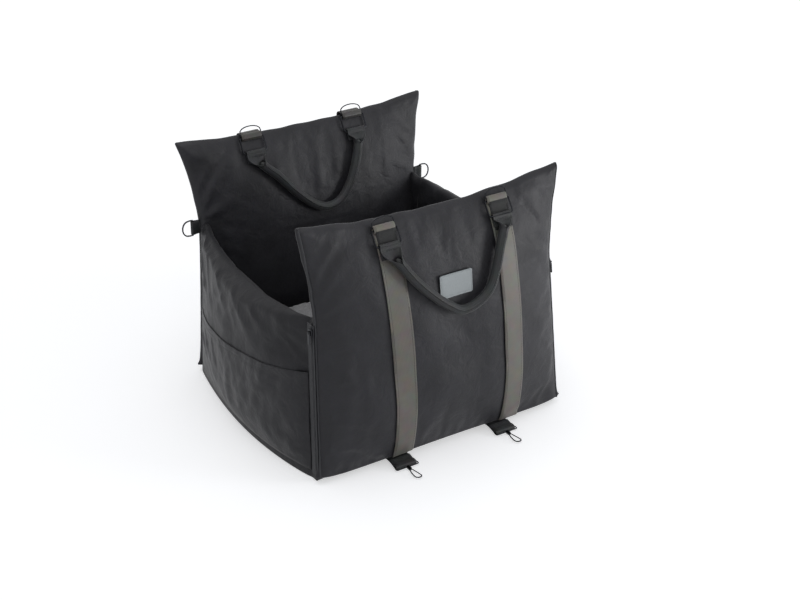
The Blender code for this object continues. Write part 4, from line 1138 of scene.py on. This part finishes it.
def strapPiece(panel, side, sideName):
    s = strap
    bar, up, away = foldAxes(panel, sideName)
    x = strapX(panel, side)
    turnRows, turnNormals = foldRows(bar, up, away)
    if panel == front:
        top = bar.z - 0.0060
        rows, normals = liftedRows(
            front, lambda z: x + s["slant"] * (top - z) / (top - s["foot"]), s["foot"],
            top - 0.004)
        rows += turnRows
        normals += [[-n for n in row] for row in turnNormals]
    else:
        crest = panelTop(rear, x / seat["tip"])
        rows, normals = liftedRows(rear, lambda z: x, s["foot"], crest - 0.006)
        # over the top of the panel in a curve
        level = crest + s["gap"] + s["thickness"] / 2
        middle = s["columns"] // 2
        last, start = rows[-1][middle], turnRows[4][middle]
        one = Vector((x, last.y, level + 0.0016))
        two = Vector((x, blend(seamY(rear, crest), start.y, 0.45), level + 0.0040))
        for step in range(1, 16):
            t = step / 15
            spot = (last * (1 - t) ** 3 + one * 3 * t * (1 - t) ** 2
                    + two * 3 * t * t * (1 - t) + start * t ** 3)
            slope = ((one - last) * 3 * (1 - t) ** 2 + (two - one) * 6 * t * (1 - t)
                     + (start - two) * 3 * t * t).normalized()
            rows.append(straightRow(Vector((x, spot.y, spot.z)), s["halfWidth"], s["columns"]))
            normals.append([Vector((0, slope.z, -slope.y))] * s["columns"])
        rows += turnRows[5:]
        normals += turnNormals[5:]
    name = f"{panelNames[panel]}Strap{sideName.title()}"
    # the rear straps take a darker copy of the grey webbing: painted shade where they come over
    # the top
    newPiece(name, tapeMesh(rows, normals, s["thickness"]),
             greyWebbing if panel == front else rearWebbingPaintedShade, panelBodies[panel],
             "grey_webbing", f"{panelNames[panel]}_strap_{sideName}")
    # the front straps get the dark sheet that paints the shade in the buckle's window
    if panel == front:
        shadeSheetPiece(name, bar, x, rows, normals)

    # two rows of lock stitch along the edges
    threads = []
    run = 0.0
    for before, row, offs in zip(rows, rows[1:s["rows"]], normals[1:]):
        step = row[4] - before[4]
        run += step.length
        if run > s["stitchSpacing"]:
            run = 0.0
            for column, inner in ((1, 2), (7, 6)):
                spot = row[column].lerp(row[inner], -0.35)
                spot += offs[column] * s["thickness"] * 0.47
                threads.append((spot, step, offs[column]))
    stitchPiece(f"{name}Thread", threads, 0.0033, 0.0003, webbingThread, panelBodies[panel],
                "grey_webbing")


for sideName, side in sides.items():
    for panel in (front, rear):
        strapPiece(panel, side, sideName)
print("straps laid")

# Label: a plain coated patch with a stitched edge

patch = {
    "halfWidth": 0.032, "halfHeight": 0.0205, "middleX": 0.010, "middleZ": 0.313,
    "thickness": 0.0012, "lie": 0.0006, "stitchInset": 0.0024, "stitchSpacing": 0.0030,
    "stitchSink": 0.0004, "cornerRound": 0.0012, "columns": 34, "rows": 22,
}


def patchPiece():
    s = patch
    columns, rows = s["columns"], s["rows"]

    def faceDepth(i, j):
        x = s["middleX"] + s["halfWidth"] * (2 * i / columns - 1)
        z = s["middleZ"] + s["halfHeight"] * (2 * j / rows - 1)
        return -padFaceY("frontPad", x, z, 1, panelFace(front, True, x, z))

    depth = np.array([[faceDepth(i, j) for i in range(columns + 1)] for j in range(rows + 1)])
    lifted = np.maximum(depth, 0.6 * depth + 0.4 * depth.max())
    for repeat in range(4):
        wide = np.pad(lifted, 1, mode="edge")
        lifted = np.maximum((wide[:-2, 1:-1] + wide[2:, 1:-1] + wide[1:-1, :-2]
                             + wide[1:-1, 2:]) / 4, depth)

    def place(a, b, c):
        u, v = (a + 1) / 2 * columns, (b + 1) / 2 * rows
        i, j = min(int(u), columns - 1), min(int(v), rows - 1)
        low, high = (blend(line[i], line[i + 1], u - i) for line in lifted[j:j + 2])
        edge = min(s["halfWidth"] * (1 - abs(a)), s["halfHeight"] * (1 - abs(b)))
        sunk = s["stitchSink"] * math.exp(-((edge - s["stitchInset"]) / 0.0010) ** 2)
        off = s["lie"] + s["thickness"] * (c + 1) / 2 - (sunk if c > 0 else 0)
        corner = s["cornerRound"] * abs(a * b) ** 24
        return (s["middleX"] + a * (s["halfWidth"] - corner), -blend(low, high, v - j) - off,
                s["middleZ"] + b * (s["halfHeight"] - corner))

    mesh, shares = clothBlock((64, 42, 1), place, (0.064, 0.041, 0.001))
    mesh.set_sharp_from_angle(angle=math.radians(50))
    newPiece("greyPatch", mesh, patchCloth, "front", "grey_patch", "label")
    threads = []
    wide, high = (s[key] - s["stitchInset"] for key in ("halfWidth", "halfHeight"))
    ends = [(-wide, -high), (wide, -high), (wide, high), (-wide, high)]
    for start, end in zip(ends, ends[1:] + ends[:1]):
        along = Vector((end[0] - start[0], 0, end[1] - start[1]))
        count = int(along.length / s["stitchSpacing"])
        for k in range(count):
            share = (k + 0.5) / count
            spot = place(blend(start[0], end[0], share) / s["halfWidth"],
                         blend(start[1], end[1], share) / s["halfHeight"], 1)
            threads.append((Vector(spot) - Vector((0, 0.0001, 0)), along, Vector((0, -1, 0))))
    stitchPiece("patchThread", threads, 0.0021, 0.0003, paleThread, "front", "grey_patch")


patchPiece()

# Handles: flat doubled webbing round each buckle, whose edges curl towards the viewer and meet
# over a round core

handle = {
    "width": 0.037, "wrapWidth": 0.0455, "thickness": 0.0018, "radius": 0.0080,
    "wrapRadius": 0.0031, "layerOff": 0.00105, "backLength": 0.018, "curlStart": 0.052,
    "curlEnd": 0.150, "flatTurn": 0.02, "openTurn": 0.10, "webHalf": 0.0020,
    "webShare": 0.045, "standOff": 0.0030, "pressed": 0.45, "swell": 0.012,
    "swellLength": 0.0075, "backs": {front: 0.0032, rear: 0.0006},
    "lows": {front: 0.270, rear: 0.288}, "coreRadius": 0.0052, "columns": 15, "rows": 230,
    "seamAngle": 0.34, "stitchSpacing": 0.0044,
}
# route of each handle, as shares of the way between its two bars and of its drop below them
handleSwing = {
    front: [-1.0, -0.99, -0.90, -0.70, -0.44, -0.17, 0.06, 0.34, 0.57, 0.725, 0.845, 0.95, 0.99,
            1.0],
    rear: [-1.0, -0.99, -0.90, -0.70, -0.445, -0.13, 0.16, 0.44, 0.67, 0.84, 0.95, 0.995, 1.0],
}
handleFall = {
    front: [0.0, 0.11, 0.26, 0.49, 0.715, 0.90, 1.0, 0.96, 0.83, 0.595, 0.355, 0.19, 0.09, 0.0],
    rear: [0.0, 0.12, 0.24, 0.39, 0.635, 0.88, 1.0, 0.955, 0.75, 0.48, 0.25, 0.11, 0.0],
}


def catmull(values, t):
    spans = len(values) - 1
    spot = bounded(t, 0, 1) * spans
    index = min(int(spot), spans - 1)
    share = spot - index
    p0, p1 = values[max(index - 1, 0)], values[index]
    p2, p3 = values[index + 1], values[min(index + 2, spans)]
    return (p1 + (p2 - p0) * share / 2 + (p0 - (5 * p1 - 4 * p2 + p3) / 2) * share ** 2
            + ((3 * (p1 - p2) + p3 - p0) / 2) * share ** 3)


def bentStrip(centre, across, away, turn, width, run, press=1.0):
    # a section bent into an arc of that turn, its hollow side towards the viewer; press
    # flattens the arc
    radius = width / turn
    depth = radius * (1 - math.cos(turn / 2))
    upper, lower = [], []
    for k in range(handle["columns"]):
        share = k / (handle["columns"] - 1) - 0.5
        angle = share * turn
        normal = (away * math.cos(angle) - across * math.sin(angle) * press).normalized()
        spot = centre + across * math.sin(angle) * radius
        spot += away * (radius * (1 - math.cos(angle)) - depth / 2) * press
        half = normal * handle["thickness"] / 2
        upper.append((spot + half, (share * width, run)))
        lower.append((spot - half, (share * width, run)))
    return upper + lower[::-1]


def handlePiece(panel):
    s = handle
    outside = panel == front
    name = panelNames[panel]
    pivot = Vector(jointPlaces[f"{name}_handle_swing"])
    left, right = (Vector((strapX(panel, side), pivot.y, pivot.z)) for side in (-1, 1))
    drop = left.z - s["lows"][panel]
    count = s["rows"]

    def curlShare(t):
        return bounded((min(t, 1 - t) - s["curlStart"]) / (s["curlEnd"] - s["curlStart"]), 0, 1)

    def layerOff(dist):
        return blend(s["wrapRadius"], s["layerOff"], smooth(dist / 0.010))

    def spine(t):
        x = blend(left.x, right.x, (catmull(handleSwing[panel], t) + 1) / 2)
        z = left.z - drop * catmull(handleFall[panel], t)
        share = smooth(1.3 * curlShare(t))
        off = s["backs"][panel] + s["standOff"] + blend(s["webHalf"], s["radius"], share)
        lie = Vector((x, panelFace(panel, outside, x, z), z))
        lie += panelNormal(panel, outside, x, z) * off
        return Vector((x, left.y, z)).lerp(lie, bounded(min(t, 1 - t) / s["webShare"], 0, 1))

    def directions(i, flatten=0.0):
        # along the webbing, across it and off the panel; flatten turns its run upright
        t = i / count
        along = (spine(min(1, t + 0.006)) - spine(max(0, t - 0.006))).normalized()
        upright = Vector((0, along.y, along.z)).normalized()
        along = along.lerp(upright, flatten).normalized()
        away = panelNormal(panel, outside, centres[i].x, centres[i].z)
        across = along.cross(away).normalized()
        return along, across, across.cross(along).normalized()

    def flatEnd(bar, start, across, run):
        # up the back of the flat end and over the bar, to where the front layer begins
        down = Vector((0, start.y - bar.y, start.z - bar.z)).normalized()
        away = Vector((0, down.z, -down.y))
        rows = []
        for step in range(9):
            dist = s["backLength"] * (1 - step / 8)
            rows.append((bar + down * dist - away * layerOff(dist), -away))
        for step in range(1, 12):
            angle = math.pi * (1 - step / 12)
            normal = away * math.cos(angle) - down * math.sin(angle)
            rows.append((bar + normal * s["wrapRadius"], normal))
        return [bentStrip(spot, across, normal, s["flatTurn"], s["width"], run)
                for spot, normal in rows]

    centres = [spine(i / count) for i in range(count + 1)]
    lengths = [0.0]
    for one, two in zip(centres, centres[1:]):
        lengths.append(lengths[-1] + (two - one).length)
    total = lengths[-1]
    sections = flatEnd(left, spine(0.06), Vector((-1, 0, 0)), 0.0)
    frames = []
    for i, (centre, run) in enumerate(zip(centres, lengths)):
        fromEnd = min(run, total - run)
        along, across, away = directions(i, 1 - smooth(fromEnd / 0.020))
        curl = curlShare(i / count)
        middle = centre + away * layerOff(fromEnd) * (
            1 - smooth((fromEnd - s["backLength"]) / 0.008))
        frames.append((middle, across, away))
        width = blend(s["width"], s["wrapWidth"], curl)
        width *= 1 + s["swell"] * math.sin(run / s["swellLength"]) * curl
        sections.append(bentStrip(
            middle, across, away, blend(s["flatTurn"], 2 * math.pi - s["openTurn"], curl), width,
            run, blend(s["pressed"], 1, smooth((curl - 0.55) / 0.45))))
    sections += flatEnd(right, spine(0.94), Vector((1, 0, 0)), total)[::-1]
    body = f"{name}_grip"
    newPiece(f"{name}Grip", sectionMesh(sections), blackWebbing, body, "black_webbing",
             f"{name}_handle")

    coreFrom = s["curlEnd"] - 0.030
    path = [spine(blend(coreFrom, 1 - coreFrom, i / 160)) for i in range(161)]
    core = cordMesh(path, lambda i: s["coreRadius"] * math.sqrt(
        max(0.05, 1 - (1 - min(i, 160 - i, 5) / 5) ** 2)), 14)
    newPiece(f"{name}GripCore", core, blackWebbing, body, "black_webbing")

    # two cross stitches at each flat end, and a seam line along the grip
    threads = []
    for runs in (lengths, [total - length for length in lengths]):
        for dist in (0.0085, 0.0105):
            middle, across, away = frames[min(range(count + 1),
                                              key=lambda i: abs(runs[i] - dist))]
            threads += [(middle + across * ((k - 3.5) * s["stitchSpacing"])
                         + away * (s["thickness"] * 0.5), across, away) for k in range(8)]
    for i in range(int(count * 0.17), int(count * 0.83), 2):
        along, across, away = directions(i)
        for angle in (-s["seamAngle"], s["seamAngle"]):
            normal = away * math.cos(angle) + across * math.sin(angle)
            spot = centres[i] + normal * (s["wrapWidth"] / 2 / math.pi + s["layerOff"])
            threads.append((spot, along, normal))
    stitchPiece(f"{name}GripThread", threads, 0.0027, 0.00028, darkThread, body,
                "black_webbing")


handlePiece(front)
handlePiece(rear)
print("handles bent")

# Zips at the two front corners

zipSizes = {
    "foot": 0.012, "head": 0.284, "tape": 0.0010, "lie": 0.0004, "sideWidth": 0.013,
    "frontWidth": 0.0070, "partGap": 0.0003, "pitch": 0.0017, "toothReach": 0.0021,
    "toothHeight": 0.0022, "toothWire": 0.00055, "unevenness": (0.0003, 0.020), "spans": 68,
    # the coil's wire round one tooth, as shares of its reach, its height and the pitch
    "tooth": [(1.0, 0.0, -0.2), (0.95, 0.34, -0.2), (0.62, 0.56, -0.1), (0.25, 0.48, 0.0),
              (0.10, 0.20, 0.05)],
}


def zipPoint(side, z, behind):
    lineY = seamY(front, z) + seat["rim"] + zipSizes["partGap"]
    return Vector((side * seamHalfWidth(front, z), lineY + behind, z))


def zipPieces(side, sideName):
    s = zipSizes
    out = Vector((side, 0, 0))
    heights = [blend(s["foot"], s["head"], i / s["spans"]) for i in range(s["spans"] + 1)]
    for place, hand, body in (("side", 1, "base"), ("front", -1, "front")):
        near, far = hand * s["partGap"] / 2, hand * s[f"{place}Width"]
        rows = []
        for z in heights:
            row = [zipPoint(side, z, blend(near, far, k / 5)) for k in range(6)]
            rows.append([p + out * (s["lie"] + s["tape"] / 2
                                    + wave(s["unevenness"], p.y, side, p.z)) for p in row])
        newPiece(f"{place}ZipTape{sideName.title()}",
                 tapeMesh(rows, [[out] * 6] * len(rows), s["tape"]), tapeCloth, body,
                 "zip_tape", f"{place}_zip_tape_{sideName}")
        teeth = []
        for k in range(int((s["head"] - s["foot"]) / s["pitch"])):
            z = s["foot"] + (k + (1.0 if place == "front" else 0.5)) * s["pitch"]
            if z <= s["head"]:
                base = zipPoint(side, z, 0) + out * (s["lie"] + s["tape"] - 0.0002)
                path = [base + Vector((side * s["toothHeight"] * v, hand * s["toothReach"] * u,
                                       w * s["pitch"])) for u, v, w in s["tooth"]]
                teeth.append(cordMesh(path, s["toothWire"], 6))
        newPiece(f"{place}ZipTapeCoil{sideName.title()}", joined(teeth), coilNylon, body,
                 "zip_tape")


for sideName, side in sides.items():
    zipPieces(side, sideName)
print("zips closed")

# Piping along the side edges of the tall panels

piping = {"radius": 0.0015, "inset": 0.0020, "proud": 0.25, "unevenness": (0.0005, 0.016)}


def pipingPiece(panel, side, sideName):
    # it lies on the swollen pad, along the seam between its outer face and its edge
    tree = padTrees[f"{panelNames[panel]}Pad"]
    path = []
    for i in range(141):
        z = blend(panelFoot(1) + 0.006, panelTop(panel, 1) - 0.005, i / 140)
        rim = seat["rim"] + wave(piping["unevenness"], z, panel * 3, side)
        spot, normal, face, off = tree.find_nearest(Vector((
            side * (seamHalfWidth(panel, z) - piping["inset"]), seamY(panel, z) + panel * rim,
            z)))
        path.append(spot + normal * piping["radius"] * piping["proud"])
    newPiece(f"{panelNames[panel]}Piping{sideName.title()}", cordMesh(path, piping["radius"]),
             tapeCloth if panel == front else shellCloth, panelBodies[panel], "shell_fabric")


for panel in (front, rear):
    for sideName, side in sides.items():
        pipingPiece(panel, side, sideName)

# Webbing tabs at the rear corners

tab = {"halfWidth": 0.0125, "length": 0.013, "radius": 0.0029, "thickness": 0.0017,
       "layerOff": 0.0010}


def tabPiece(side, sideName):
    s = tab
    bar = Vector(jointPlaces[f"corner_ring_{sideName}_turn"])
    out, back, up = Vector((side, 0, 0)), Vector((0, 1, 0)), Vector((0, 0, 1))

    def layer(dist, hand):
        return -dist, hand * blend(s["radius"], s["layerOff"], smooth(dist / 0.011)), back * hand

    path = [layer(s["length"] * (1 - step / 8), -1) for step in range(8)]
    for step in range(13):
        angle = math.radians(-90 + 15 * step)
        path.append((s["radius"] * math.cos(angle), s["radius"] * math.sin(angle),
                     out * math.cos(angle) + back * math.sin(angle)))
    path += [layer(s["length"] * step / 8, 1) for step in range(1, 9)]
    rows = [straightRow(bar + out * along + back * off, s["halfWidth"], 7, up)
            for along, off, normal in path]
    normals = [[normal.normalized()] * 7 for along, off, normal in path]
    newPiece(f"cornerTab{sideName.title()}", tapeMesh(rows, normals, s["thickness"]),
             blackWebbing, "base", "black_webbing", f"corner_tab_{sideName}")


# Tether straps under the front edge

tether = {"halfWidth": 0.0200, "thickness": 0.0019, "radius": 0.0029, "tongue": 0.020,
          "lie": 0.0003, "arch": 0.0055, "seams": (0.0150, 0.0180), "stitchSpacing": 0.0042}


def tetherPiece(side, sideName):
    s = tether
    bar = Vector(jointPlaces[f"hook_frame_{sideName}_lift"])
    low = s["lie"] + s["thickness"] / 2
    rootY = panelFace(front, False, 0, 0.022) + 0.0014
    up = Vector((0, 0, 1))

    def arch(y):
        # the strap stands up a little between the base and its bar
        return s["arch"] * math.sin(math.pi * bounded((y - bar.y) / (rootY - bar.y), 0, 1))

    path = []
    for step in range(17):
        y = blend(rootY, bar.y, step / 16)
        path.append((y, low + arch(y), -up))
    for step in range(1, 13):
        angle = math.radians(-90 - 15 * step)
        normal = Vector((0, math.cos(angle), math.sin(angle)))
        path.append((bar.y + s["radius"] * normal.y, bar.z + s["radius"] * normal.z, normal))
    ends = low + s["thickness"] + 0.0002
    for step in range(1, 13):
        dist = s["tongue"] * step / 12
        z = blend(bar.z + s["radius"], ends, smooth(dist / 0.011))
        path.append((bar.y + dist, z + arch(bar.y + dist), up))
    rows = [straightRow(Vector((bar.x, y, z)), s["halfWidth"], 9) for y, z, normal in path]
    name = f"tetherStrap{sideName.title()}"
    newPiece(name, tapeMesh(rows, [[normal] * 9 for y, z, normal in path], s["thickness"]),
             blackWebbing, "base", "black_webbing", f"tether_strap_{sideName}")
    threads = []
    for y in (bar.y + seam for seam in s["seams"]):
        middle = Vector((bar.x, y, ends + s["thickness"] * 0.5 + arch(y)))
        threads += [(spot, Vector((1, 0, 0)), up)
                    for spot in straightRow(middle, 4 * s["stitchSpacing"], 9)]
    stitchPiece(f"{name}Thread", threads, 0.0031, 0.0003, darkThread, "base", "black_webbing")


for sideName, side in sides.items():
    tabPiece(side, sideName)
    tetherPiece(side, sideName)
print("tabs and tethers looped")

# Metal pieces and the board keep their solids and take real finishes

finishes = {"base_board": pressedBoard}
for sideName in sides:
    for node in ("front_buckle", "rear_buckle", "front_strap_ring", "rear_strap_ring",
                 "corner_ring", "hook_frame", "snap_hook", "hook_gate", "zip_slider",
                 "zip_puller"):
        finishes[f"{node}_{sideName}"] = gunmetal
for node, material in finishes.items():
    mesh = bpy.data.objects[node].data
    mesh.materials.clear()
    mesh.materials.append(material)
print("metal finished")
